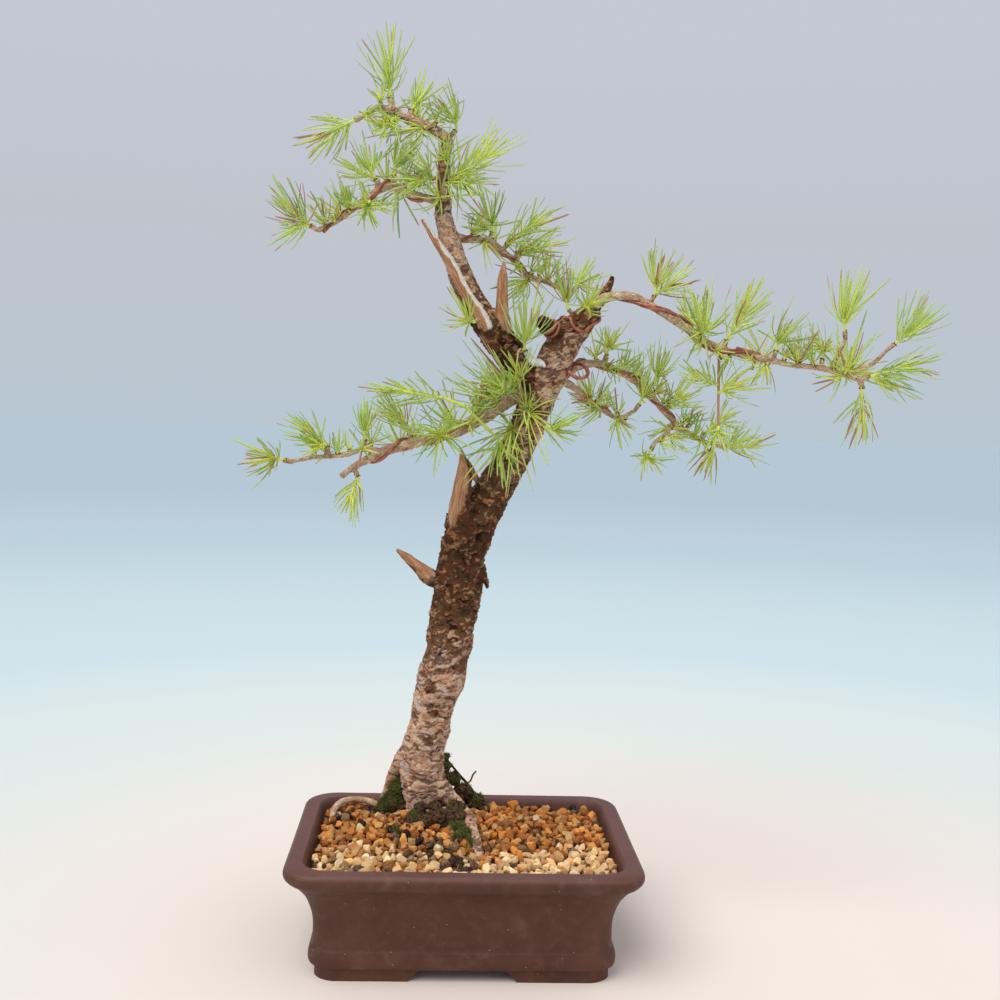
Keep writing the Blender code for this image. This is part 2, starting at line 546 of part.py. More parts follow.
# Room taken up by wood, wires, stems and needles, kept as capsules
class Room:
    def __init__(self):
        self.starts = np.zeros((0, 3))
        self.ends = np.zeros((0, 3))
        self.radii = np.zeros(0)
        self.owners = []

    def add(self, owner, route, radii):
        centres = np.asarray(route, float)[:, :3]
        radii = np.broadcast_to(radii, len(centres))
        self.starts = np.vstack([self.starts, centres[:-1]])
        self.ends = np.vstack([self.ends, centres[1:]])
        self.radii = np.append(self.radii, np.maximum(radii[:-1], radii[1:]))
        self.owners += [owner] * (len(centres) - 1)

    def clearances(self, points):
        """How far each point is from each capsule's surface, and the way straight out of it."""
        points = np.asarray(points, float)[:, None, :]
        run = self.ends - self.starts
        along = ((points - self.starts) * run).sum(2) / np.maximum((run ** 2).sum(1), 1e-9)
        nearest = self.starts + np.clip(along, 0, 1)[:, :, None] * run
        away = points - nearest
        distance = np.linalg.norm(away, axis=2)
        return distance - self.radii, away / np.maximum(distance, 1e-6)[:, :, None]

    def free(self, owner, points, radius, clearance):
        distances, _ = self.clearances(points)
        others = np.array([name != owner for name in self.owners])
        return distances[:, others].min() > radius + clearance


def short_of_ends(route, cut):
    """A route pulled in at its far end, so that its capsule ends flat where the tube does."""
    route = np.array(route, float)
    last = unit(route[-1, :3] - route[-2, :3])
    route[-1, :3] -= last * cut
    return route


# The tree: trunk, limbs, twigs, dead wood, roots and a spur for each spray, grown as one piece
def nearest_wood(routes, place):
    """The nearest point of any limb's centre line, with its radius and direction."""
    best = None
    for route in routes.values():
        distances = np.linalg.norm(route[:, :3] - place, axis=1)
        index = int(distances.argmin())
        if best is None or distances[index] < best[0]:
            before, after = route[max(index - 1, 0)], route[min(index + 1, len(route) - 1)]
            at_end = index == len(route) - 1
            best = (distances[index], route[index], unit((after - before)[:3]), at_end)
    return best[1:]


def spur_for(routes, place, stem):
    """The short woody spur that carries a spray: a route from the limb's middle to its end."""
    wood, direction, at_end = nearest_wood(routes, np.array(place, float))
    out = unit(stem)
    if not at_end:
        out = unit(out - PEG_STRAIGHTENING * direction * (out @ direction))
    start = wood[:3]
    end = start + out * (wood[3] + PEG_REACH)
    return np.array([[*start, PEG_RADII[0]], [*end, PEG_RADII[1]]]), out


def make_tree(routes, spurs):
    bark = make_material("larch_bark", (0.16, 0.09, 0.06), 0.9)
    solids = []
    for name, (sides, _, knobs, _) in LIMBS.items():
        solids.append(tube(name, routes[name], sides, knobs))
    for name, (route, _) in spurs.items():
        solids.append(tube("spur_" + name, route, PEG_SIDES))
    tree = solids.pop(0)
    tree.name = "tree"
    tree.data.materials.append(bark)
    return fuse(tree, solids)


def make_root_cutters(routes):
    """The buried limbs a little larger, to leave their holes in the soil."""
    cutters = []
    for name in BURIED:
        sides, _, knobs, _ = LIMBS[name]
        cutters.append(tube(name + "_hole", routes[name], sides, knobs, grow=ROOT_CLEARANCE))
    return cutters


# The training wires: soft copper, wound round a limb and cut at both ends
def coil_points(route, wire_radius, start, end, pitch, crossing):
    """A helix round one stretch of a limb, crossing the front of it at the given place."""
    fine = smooth_route(route, 1.0)
    lengths = np.append(0, np.cumsum(np.linalg.norm(np.diff(fine[:, :3], axis=0), axis=1)))
    tangents, _, _ = frames_along(fine[:, :3])
    steps = max(4, round(abs(end - start) / pitch * POINTS_PER_TURN))
    points = []
    for along in np.linspace(start, end, steps + 1):
        index = int(np.searchsorted(lengths, along).clip(0, len(fine) - 1))
        front = unit(np.array([0, -1, 0]) + tangents[index] * tangents[index][1])
        rise = np.cross(front, tangents[index])
        turn = math.tau * (along - crossing) / pitch
        reach = (fine[index, 3] * COIL_SLACK + wire_radius + GAP) / math.cos(math.pi / POINTS_PER_TURN)
        points.append(fine[index, :3] + (front * math.cos(turn) + rise * math.sin(turn)) * reach)
    return points


def settle_on_wood(points, wire_radius, room):
    """Push the wire out wherever it would enter wood, another wire or a shoot."""
    for _ in range(SETTLING_ROUNDS):
        for share in (0, 0.25, 0.5, 0.75, 1):
            distances, away = room.clearances(points[:-1] * (1 - share) + points[1:] * share)
            short = wire_radius + GAP - distances
            for index, worst in enumerate(short.argmax(1)):
                if short[index, worst] > 0:
                    push = away[index, worst] * short[index, worst]
                    points[index] += push * (1 - share)
                    points[index + 1] += push * share
    return points


def make_wires(routes, room):
    copper = make_material("aged_copper", (0.13, 0.05, 0.04), 0.35, 0.9)
    wires = []
    for name, (radius, stretches) in WIRES.items():
        points = []
        for limb, start, end, pitch, crossing in stretches:
            points += coil_points(routes[limb], radius, start, end, pitch, crossing)
        points = settle_on_wood(np.array(points), radius, room)
        route = np.column_stack([points, np.full(len(points), radius)])
        room.add(name, route, radius)
        wire = tube(name, route, WIRE_SIDES)
        wire.data.materials.append(copper)
        wires.append(wire)
    return wires


# The sprays: slim green stems on the spurs, with needles all round them out to the tips
def stem_routes(spur, out, shoots):
    """The centre lines of one spray's stems; the first leaves the spur's flat end straight."""
    foot = spur[-1, :3] + out * GAP
    routes = []
    for number, (start, stem, _, _, _) in enumerate(shoots):
        root = foot + out * STEM_STRAIGHT + np.array(start, float)
        points = [root, root + np.array(stem, float)]
        if number == 0:
            points.insert(0, foot)
        radii = np.linspace(STEM_RADII[0], STEM_RADII[1], len(points))
        routes.append(np.column_stack([points, radii]))
    return routes


class Shoot:
    """A stem whose surface is bands of small triangles, some of them drawn out into needles."""

    def __init__(self, route):
        length = np.linalg.norm(route[-1, :3] - route[-2, :3])
        bands = max(3, round(length / BAND_HEIGHT))
        self.centres = np.linspace(route[-2, :3], route[-1, :3], bands + 1)
        if len(route) > 2:
            self.centres = np.vstack([route[0, :3], self.centres])
        radii = np.linspace(route[0, 3], route[-1, 3], len(self.centres))
        tangents, across, up = frames_along(self.centres)
        self.axis = tangents[-1]
        self.vertices = []
        for ring, centre in enumerate(self.centres):
            for index in range(STEM_SIDES):
                turn = math.tau * (index + ring % 2 / 2) / STEM_SIDES
                outwards = across[ring] * math.cos(turn) + up[ring] * math.sin(turn)
                self.vertices.append(centre + outwards * radii[ring])
        self.vertices = [np.array(vertex) for vertex in self.vertices]
        self.bands = []
        for ring in range(len(self.centres) - 1):
            low, high = ring * STEM_SIDES, (ring + 1) * STEM_SIDES
            band = []
            for index in range(STEM_SIDES):
                after = (index + 1) % STEM_SIDES
                if ring % 2 == 0:
                    band.append((low + index, low + after, high + index))
                    band.append((high + index, low + after, high + after))
                else:
                    band.append((low + index, high + after, high + index))
                    band.append((low + index, low + after, high + after))
            self.bands.append(band)
        self.grown = {}

    def site(self, share, turn):
        """The free triangle nearest to this height and side of the stem."""
        first = len(self.bands) - max(3, len(self.bands) - 1)
        band = first + int(share * (len(self.bands) - first) * 0.999)
        place = self.centres[band:band + 2].mean(0)
        side = unit(np.cross(self.axis, (0.31, 0.83, 0.47)))
        wanted = side * math.cos(turn) + np.cross(self.axis, side) * math.sin(turn)
        best = None
        for face in self.bands[band]:
            middle = np.mean([self.vertices[index] for index in face], axis=0)
            outwards = unit(middle - place - self.axis * ((middle - place) @ self.axis))
            if face not in self.grown and (best is None or outwards @ wanted > best[0]):
                best = (outwards @ wanted, face, middle, outwards)
        return best[1:] if best else None

    def mesh(self):
        """Vertices and faces of the stem with its needles, closed at both ends."""
        vertices = list(self.vertices)
        faces = [list(range(STEM_SIDES))[::-1]]
        faces.append(list(range(len(vertices) - STEM_SIDES, len(vertices))))
        for face in [face for band in self.bands for face in band]:
            if face not in self.grown:
                faces.append(face)
                continue
            points, outwards = self.grown[face]
            direction = unit(points[2] - points[0])
            across = unit(np.cross(direction, outwards))
            upright = np.cross(across, direction)
            middle = np.mean([vertices[index] for index in face], axis=0)
            offsets = [vertices[index] - middle for index in face]
            angles = [math.atan2(-offset @ self.axis, offset @ across) for offset in offsets]
            ring = []
            for angle in angles:
                ring.append(len(vertices))
                reach = across * math.cos(angle) + upright * math.sin(angle)
                vertices.append(points[1] + reach * NEEDLE_RADIUS)
            tip = len(vertices)
            vertices.append(points[2])
            for index in range(3):
                after = (index + 1) % 3
                faces.append((face[index], face[after], ring[after]))
                faces.append((face[index], ring[after], ring[index]))
                faces.append((ring[index], ring[after], tip))
        return vertices, faces


def needle_points(root, axis, outwards, length, angle, curve):
    """Three points of a needle that leaves its stem at `angle` and bends a little forwards."""
    direction = axis * math.cos(angle) + outwards * math.sin(angle)
    middle = root + direction * length * 0.5
    return np.array([root, middle, middle + unit(direction + axis * curve) * length * 0.5])


def grow_needles(grown_shoots, room):
    """Needles for every spray, drawn one at a time in turn so that all get their share of room."""
    draw = random.Random(SEED)
    jobs = []
    for name, (_, shoots) in SPRAYS.items():
        for number, (_, _, count, length, opening) in enumerate(shoots):
            for index in range(count):
                jobs.append(((index + 0.5) / count, name, number, index, length, opening))
    jobs.sort()
    for share, name, number, index, length, opening in jobs:
        shoot = grown_shoots[name, number]
        spot = shoot.site(share, index * GOLDEN_ANGLE)
        if spot is None:
            continue
        face, root, outwards = spot
        for attempt in range(TRIES):
            loose = FIRST_TURN + MORE_TURN * attempt
            angle = math.radians(opening) * (1 - NEEDLE_CLOSING * share ** CLOSING_POWER)
            angle *= 1 + draw.uniform(-loose, loose)
            reach = length * draw.uniform(*NEEDLE_LENGTHS)
            curve = draw.uniform(*NEEDLE_CURVES)
            points = needle_points(root, shoot.axis, outwards, reach, angle, curve)
            samples = np.vstack([np.linspace(points[0], points[1], SAMPLES_PER_HALF),
                                 np.linspace(points[1], points[2], SAMPLES_PER_HALF)])
            if room.free((name, number), samples, NEEDLE_RADIUS, NEEDLE_CLEARANCE):
                shoot.grown[face] = (points, outwards)
                room.add((name, number), points, NEEDLE_RADIUS)
                break


def make_sprays(spurs, routes, room):
    leaf = make_material("larch_needles", (0.28, 0.50, 0.08), 0.55)
    stems = {}
    for name, (_, shoots) in SPRAYS.items():
        spur, out = spurs[name]
        stems[name] = stem_routes(spur, out, shoots)
        for number, route in enumerate(stems[name]):
            room.add((name, number), route, route[:, 3])
    wires = make_wires(routes, room)
    grown_shoots = {}
    for name, (_, shoots) in SPRAYS.items():
        for number, (_, _, count, _, _) in enumerate(shoots):
            if count:
                grown_shoots[name, number] = Shoot(stems[name][number])
    grow_needles(grown_shoots, room)
    sprays = []
    for name, (_, shoots) in SPRAYS.items():
        solids = []
        for number, route in enumerate(stems[name]):
            if (name, number) in grown_shoots:
                solids.append(make_object(name, *grown_shoots[name, number].mesh()))
            else:
                solids.append(tube(name, route, STEM_SIDES))
        spray = solids.pop(0)
        spray.name = name
        spray.data.materials.append(leaf)
        sprays.append(fuse(spray, solids) if solids else spray)
    return sprays + wires


# Build the object, then put its pieces under one empty
for old in list(bpy.data.objects):
    bpy.data.objects.remove(old)

limb_routes = {name: smooth_route(points, spacing) for name, (_, spacing, _, points) in LIMBS.items()}
spray_spurs = {}
for spray_name, (place, shoots) in SPRAYS.items():
    spray_spurs[spray_name] = spur_for(limb_routes, place, shoots[0][1])

taken = Room()
for limb_name, limb_route in limb_routes.items():
    taken.add("tree", limb_route, limb_route[:, 3] * (1 + LIMBS[limb_name][2]))
for spur_route, _ in spray_spurs.values():
    taken.add("tree", short_of_ends(spur_route, PEG_RADII[1]), spur_route[:, 3])

pieces = [make_pot()]
pieces.append(make_screen("drain_screen_left", -DRAIN_SPACING / 2))
pieces.append(make_screen("drain_screen_right", DRAIN_SPACING / 2))
pieces.append(make_soil(make_root_cutters(limb_routes)))
pieces.append(make_tree(limb_routes, spray_spurs))
pieces += make_sprays(spray_spurs, limb_routes, taken)

bonsai = bpy.data.objects.new("bonsai", None)
bonsai.location = (-BOX_MIDDLE[0] * MM, -BOX_MIDDLE[1] * MM, 0)
bpy.context.scene.collection.objects.link(bonsai)
for piece in pieces:
    piece.parent = bonsai
    piece.data.shade_smooth()
    piece.data.set_sharp_from_angle(angle=math.radians(40))
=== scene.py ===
"""The finished look of a larch bonsai in its clay pot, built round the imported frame.

Lengths are in millimetres from the middle of the pot on the table: X to the right in the front view,
Y to the back, Z up. Meshes are made in metres, in the frame's own place.
"""
import math
import random

import bmesh
import bpy
import numpy as np
from mathutils import Matrix, Vector, noise
from mathutils.bvhtree import BVHTree


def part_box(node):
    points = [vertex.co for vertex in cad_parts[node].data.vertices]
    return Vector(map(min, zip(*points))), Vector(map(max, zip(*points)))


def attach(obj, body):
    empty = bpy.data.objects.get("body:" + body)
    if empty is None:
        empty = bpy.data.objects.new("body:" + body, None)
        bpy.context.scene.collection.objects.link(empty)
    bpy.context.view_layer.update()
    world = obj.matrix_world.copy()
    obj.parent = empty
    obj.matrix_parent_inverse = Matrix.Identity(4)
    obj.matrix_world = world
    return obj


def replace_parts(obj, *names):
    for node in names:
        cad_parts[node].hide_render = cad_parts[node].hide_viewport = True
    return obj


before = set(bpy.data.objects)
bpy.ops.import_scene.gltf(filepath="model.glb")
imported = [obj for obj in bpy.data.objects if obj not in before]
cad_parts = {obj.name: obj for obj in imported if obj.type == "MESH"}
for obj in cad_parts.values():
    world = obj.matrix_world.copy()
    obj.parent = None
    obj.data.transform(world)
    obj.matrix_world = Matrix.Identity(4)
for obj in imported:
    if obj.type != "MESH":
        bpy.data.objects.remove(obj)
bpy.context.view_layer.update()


# The pot: a shallow bowl of unglazed purple-brown clay, pressed in a mould and fired hard.
# It has a rounded lip, a hollow neck, a bead over four low feet, and two drain holes in its floor.
MM = 0.001
POT_LENGTH = 170.0
POT_WIDTH = 130.0
CORNER_RADIUS = 17.0
CORNER_LOSS = 0.42
CORNER_STEPS = 12
SIDE_STEPS = 14
RECESS_HEIGHT = 6.0
FOOT_INSET = 19.5
DRAIN_RADIUS = 7.5
DRAIN_SPACING = 76.0
DRAIN_SIDES = 40
DRAIN_HEIGHTS = (1.0, 16.0)
ARCH_HEIGHT = 5.6
FRONT_ARCH = (42.0, 52.0)
SIDE_ARCH = (30.0, 40.0)
POT_CREASE = math.radians(38)
POT_OUTSIDE = [
    (14.6, 0.0), (14.4, 5.4), (12.2, 6.9), (11.6, 10.3), (12.3, 13.7), (13.5, 15.4),
    (13.6, 26.0), (12.4, 32.5), (9.8, 39.0), (5.4, 44.8), (1.7, 47.8),
    (0.1, 50.4), (0.4, 53.4), (2.0, 55.0),
]
POT_INSIDE = [(8.4, 55.0), (9.5, 53.6), (10.5, 50.0), (18.2, 36.0), (20.8, 21.0), (22.5, 12.5)]
pot_low, pot_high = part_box("pot")
pot_middle = (pot_low + pot_high) / 2


def tone(red, green, blue):
    """A colour as the eye names it, from 0 to 255, in the linear values that shaders take."""
    return (*[(part / 255) ** 2.2 for part in (red, green, blue)], 1.0)


class Link:
    """A socket of a finish that sums can be written with."""

    def __init__(self, finish, socket):
        self.finish = finish
        self.socket = socket

    def sum(self, operation, first, second):
        return self.finish.node("ShaderNodeMath", {"operation": operation}, {0: first, 1: second})

    def __add__(self, other):
        return self.sum("ADD", self, other)

    def __radd__(self, other):
        return self.sum("ADD", other, self)

    def __sub__(self, other):
        return self.sum("SUBTRACT", self, other)

    def __rsub__(self, other):
        return self.sum("SUBTRACT", other, self)

    def __mul__(self, other):
        return self.sum("MULTIPLY", self, other)

    def __rmul__(self, other):
        return self.sum("MULTIPLY", other, self)


class Finish:
    """The material of one surface. Values that are the same all over go on the shader's own sockets."""

    def __init__(self, name, **fixed):
        self.material = bpy.data.materials.new(name)
        self.material.use_nodes = True
        self.nodes = self.material.node_tree.nodes
        self.links = self.material.node_tree.links
        self.shader = self.nodes["Principled BSDF"]
        for socket, value in fixed.items():
            self.shader.inputs[socket.replace("_", " ")].default_value = value
        self.place = self.node("ShaderNodeTexCoord", output="Object")

    def node(self, kind, settings=None, sockets=None, output=0):
        made = self.nodes.new(kind)
        for name, value in (settings or {}).items():
            if name == "stops":
                while len(made.color_ramp.elements) < len(value):
                    made.color_ramp.elements.new(1.0)
                for element, (position, colour) in zip(made.color_ramp.elements, value):
                    element.position = position
                    element.color = colour
            else:
                setattr(made, name, value)
        for name, value in (sockets or {}).items():
            if isinstance(value, Link):
                self.links.new(value.socket, made.inputs[name])
            else:
                made.inputs[name].default_value = value
        return Link(self, made.outputs[output])

    def stretched(self, size, stretch=(1, 1, 1), place=None):
        """Places measured in lumps of `size` millimetres; a larger stretch makes them flatter that way."""
        scale = [side / (size * MM) for side in stretch]
        place = place or self.place
        return self.node("ShaderNodeVectorMath", {"operation": "MULTIPLY"}, {0: place, 1: scale})

    def lumps(self, size, detail=3.0, stretch=(1, 1, 1), place=None):
        """Noise from 0 to 1, with lumps of about `size` millimetres."""
        place = self.stretched(size, stretch, place)
        return self.node("ShaderNodeTexNoise", {}, {"Vector": place, "Scale": 1.0, "Detail": detail})

    def cells(self, size):
        """How far a point is from the middle of its cell; cells are about `size` millimetres across."""
        place = self.stretched(size)
        return self.node("ShaderNodeTexVoronoi", None, {"Vector": place, "Scale": 1.0}, "Distance")

    def fade(self, value, start, end):
        """0 up to `start` and 1 from `end`, with a smooth change between them."""
        return self.node("ShaderNodeMapRange", {"interpolation_type": "SMOOTHSTEP"},
                         {"Value": value, "From Min": start, "From Max": end})

    def mix(self, share, first, second, blend="MIX"):
        return self.node("ShaderNodeMix", {"data_type": "RGBA", "blend_type": blend},
                         {0: share, 6: first, 7: second}, 2)

    def height(self):
        """How high a point is above the table, in millimetres."""
        return self.node("ShaderNodeSeparateXYZ", None, {0: self.place}, "Z") * (1 / MM)

    def measure(self, name, output="Fac"):
        """A value that the mesh holds at each of its points."""
        return self.node("ShaderNodeAttribute", {"attribute_name": name}, None, output)

    def show(self, colour=None, roughness=None, relief=None, depth=0.1, strength=1.0):
        """Join what changes over the surface to the shader."""
        if colour:
            self.links.new(colour.socket, self.shader.inputs["Base Color"])
        if roughness:
            self.links.new(roughness.socket, self.shader.inputs["Roughness"])
        if relief:
            bump = self.node("ShaderNodeBump", None,
                             {"Height": relief, "Distance": depth * MM, "Strength": strength})
            self.links.new(bump.socket, self.shader.inputs["Normal"])
        return self.material


def in_frame(points):
    """Millimetres from the middle of the pot as metres in the frame."""
    return np.asarray(points, float) * MM + (pot_middle.x, pot_middle.y, 0)


def make_piece(name, points, faces, material):
    """A smooth mesh from millimetre points, set in the frame's place."""
    mesh = bpy.data.meshes.new(name)
    mesh.from_pydata(in_frame(points).tolist(), [], faces)
    mesh.shade_smooth()
    mesh.materials.append(material)
    piece = bpy.data.objects.new(name, mesh)
    bpy.context.scene.collection.objects.link(piece)
    return piece


def points_of(piece):
    """The points of a piece, back in millimetres from the middle of the pot."""
    flat = np.zeros(len(piece.data.vertices) * 3, np.float32)
    piece.data.vertices.foreach_get("co", flat)
    return (flat.reshape(-1, 3).astype(float) - (pot_middle.x, pot_middle.y, 0)) / MM


def skin(rings, sides):
    """Faces between rings of points, with a cap at either end."""
    faces = [list(range(sides))[::-1]]
    for ring in range(rings - 1):
        low, high = ring * sides, (ring + 1) * sides
        for index in range(sides):
            after = (index + 1) % sides
            faces.append((low + index, low + after, high + after, high + index))
    faces.append(list(range((rings - 1) * sides, rings * sides)))
    return faces


def smooth_route(points, spacing):
    """Points about `spacing` apart on a Catmull-Rom curve; a radius is carried along."""
    knots = np.array(points, float)
    knots = np.vstack([2 * knots[0] - knots[1], knots, 2 * knots[-1] - knots[-2]])
    route = []
    for index in range(1, len(knots) - 2):
        before, start, end, after = knots[index - 1:index + 3]
        steps = max(1, round(np.linalg.norm((end - start)[:3]) / spacing))
        for t in np.arange(steps) / steps:
            route.append(0.5 * (2 * start + (end - before) * t
                                + (2 * before - 5 * start + 4 * end - after) * t ** 2
                                + (3 * start - before - 3 * end + after) * t ** 3))
    route.append(knots[-2])
    return np.array(route)


def plan_ring(inset, height):
    """The pot's rounded plan, moved in by `inset`, with points along its straight sides too."""
    half = np.array([POT_LENGTH / 2 - inset, POT_WIDTH / 2 - inset])
    radius = CORNER_RADIUS - CORNER_LOSS * inset
    ring = []
    for corner, signs in enumerate([(1, 1), (-1, 1), (-1, -1), (1, -1)]):
        centre = (half - radius) * signs
        for turn in np.radians(90 * (corner + np.arange(CORNER_STEPS + 1) / CORNER_STEPS)):
            ring.append(centre + radius * np.array([math.cos(turn), math.sin(turn)]))
        following = [(-1, 1), (-1, -1), (1, -1), (1, 1)][corner]
        turn = math.radians(90 * (corner + 1))
        start = ring[-1]
        end = (half - radius) * following + radius * np.array([math.cos(turn), math.sin(turn)])
        for share in np.arange(1, SIDE_STEPS) / SIDE_STEPS:
            ring.append(start + (end - start) * share)
    return [(x, y, height) for x, y in ring]


def cut_away(piece, cutters):
    """Cut closed shapes out of a piece and delete them."""
    group = bpy.data.collections.new(piece.name + "_cutters")
    bpy.context.scene.collection.children.link(group)
    for cutter in cutters:
        bpy.context.scene.collection.objects.unlink(cutter)
        group.objects.link(cutter)
    cut = piece.modifiers.new("Cut", "BOOLEAN")
    cut.operand_type = "COLLECTION"
    cut.collection = group
    apply_modifiers(piece)
    for cutter in cutters:
        bpy.data.objects.remove(cutter)
    bpy.data.collections.remove(group)


def apply_modifiers(piece):
    """Make what the modifiers show the piece's own mesh."""
    evaluated = piece.evaluated_get(bpy.context.evaluated_depsgraph_get())
    mesh = bpy.data.meshes.new_from_object(evaluated)
    mesh.name = piece.name
    piece.modifiers.clear()
    material = piece.data.materials[0]
    piece.data = mesh
    mesh.materials.clear()
    mesh.materials.append(material)
    mesh.shade_smooth()


def arch_cutter(name, widths, length, along_x):
    """A bar that cuts the opening between two feet, from one side of the pot to the other."""
    top, bottom = widths[0] / 2, widths[1] / 2
    slope = (bottom - top) / ARCH_HEIGHT
    profile = [(-bottom - slope, -1.0), (bottom + slope, -1.0), (top + 1.0, ARCH_HEIGHT - 1.2),
               (top - 0.6, ARCH_HEIGHT), (-top + 0.6, ARCH_HEIGHT), (-top - 1.0, ARCH_HEIGHT - 1.2)]
    rings = []
    ends = (-length / 2, length / 2) if along_x else (length / 2, -length / 2)
    for end in ends:
        for across, height in profile:
            rings.append((end, across, height) if along_x else (across, end, height))
    return make_piece(name, rings, skin(2, len(profile)), None)


def fired_clay():
    clay = Finish("fired_clay", Roughness=0.6, Specular_IOR_Level=0.42)
    patches = clay.lumps(26, 4)
    pores = clay.lumps(0.7, 2)
    lip_polish_and_sheen = clay.fade(clay.height(), 52.0, 54.6)
    colour = clay.mix(clay.fade(patches, 0.3, 0.7), tone(75, 42, 30), tone(88, 53, 39))
    colour = clay.mix(clay.fade(clay.lumps(5, 3), 0.45, 0.75) * 0.3, colour, tone(108, 74, 62))
    colour = clay.mix(clay.fade(pores, 0.55, 0.75) * 0.3, colour, tone(62, 38, 34))
    # The lip is painted lighter: a painted highlight of the top light on the rim. It is also made a little
    # smoother, as handling polishes it.
    colour = clay.mix(lip_polish_and_sheen * 0.5, colour, tone(114, 72, 62))
    bloom = clay.fade(clay.lumps(11, 4), 0.6, 0.78)
    colour = clay.mix(bloom * 0.14, colour, tone(150, 126, 118))
    specks = (1 - clay.fade(clay.cells(3.6), 0.04, 0.09)) * clay.fade(clay.lumps(7, 2), 0.46, 0.56)
    colour = clay.mix(specks * 0.6, colour, tone(200, 182, 168))
    roughness = 0.5 + pores * 0.22 - lip_polish_and_sheen * 0.1
    relief = pores * 0.6 + clay.lumps(2.4, 2) * 0.8 - specks * 0.4
    return clay.show(colour, roughness, relief, 0.16, 0.7)


rings = [plan_ring(FOOT_INSET - 0.3, RECESS_HEIGHT), plan_ring(FOOT_INSET, 0.0)]
rings += [plan_ring(inset, height) for inset, height in smooth_route(POT_OUTSIDE, 1.3)]
rings += [plan_ring(inset, height) for inset, height in smooth_route(POT_INSIDE, 2.5)]
pot_points = np.array([point for ring in rings for point in ring])
for index, point in enumerate(pot_points):
    wobble = 0.16 * noise.noise(Vector(point / 28)) + 0.05 * noise.noise(Vector(point / 5))
    outwards = np.array([point[0] / POT_LENGTH, point[1] / POT_WIDTH, 0])
    pot_points[index] += outwards / np.linalg.norm(outwards) * (wobble - 0.1)
pot = make_piece("clay_pot", pot_points, skin(len(rings), len(rings[0])), fired_clay())
pot_cutters = [
    arch_cutter("front_arch", FRONT_ARCH, POT_WIDTH, False),
    arch_cutter("side_arch", SIDE_ARCH, POT_LENGTH, True),
]
for side in (-1, 1):
    circle = [(side * DRAIN_SPACING / 2 + DRAIN_RADIUS * math.cos(turn), DRAIN_RADIUS * math.sin(turn))
              for turn in np.arange(DRAIN_SIDES) * math.tau / DRAIN_SIDES]
    drain = [(x, y, height) for height in DRAIN_HEIGHTS for x, y in circle]
    pot_cutters.append(make_piece("drain", drain, skin(2, DRAIN_SIDES), None))
cut_away(pot, pot_cutters)
pot.data.set_sharp_from_angle(angle=POT_CREASE)
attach(pot, "root")
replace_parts(pot, "pot")


# The drain screens: squares of black plastic mesh, laid over the drain holes before the soil goes in.
# They are hidden in the pot and show only through the holes from below.
def screen_plastic():
    plastic = Finish("screen_plastic", Roughness=0.5)
    dust = plastic.fade(plastic.lumps(3, 3), 0.5, 0.75)
    colour = plastic.mix(dust * 0.5, tone(32, 32, 33), tone(92, 74, 58))
    return plastic.show(colour, 0.45 + dust * 0.4, plastic.lumps(0.8, 2), 0.1, 0.5)


for side in ("left", "right"):
    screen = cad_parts["drain_screen_" + side]
    screen.data.materials.clear()
    screen.data.materials.append(screen_plastic())


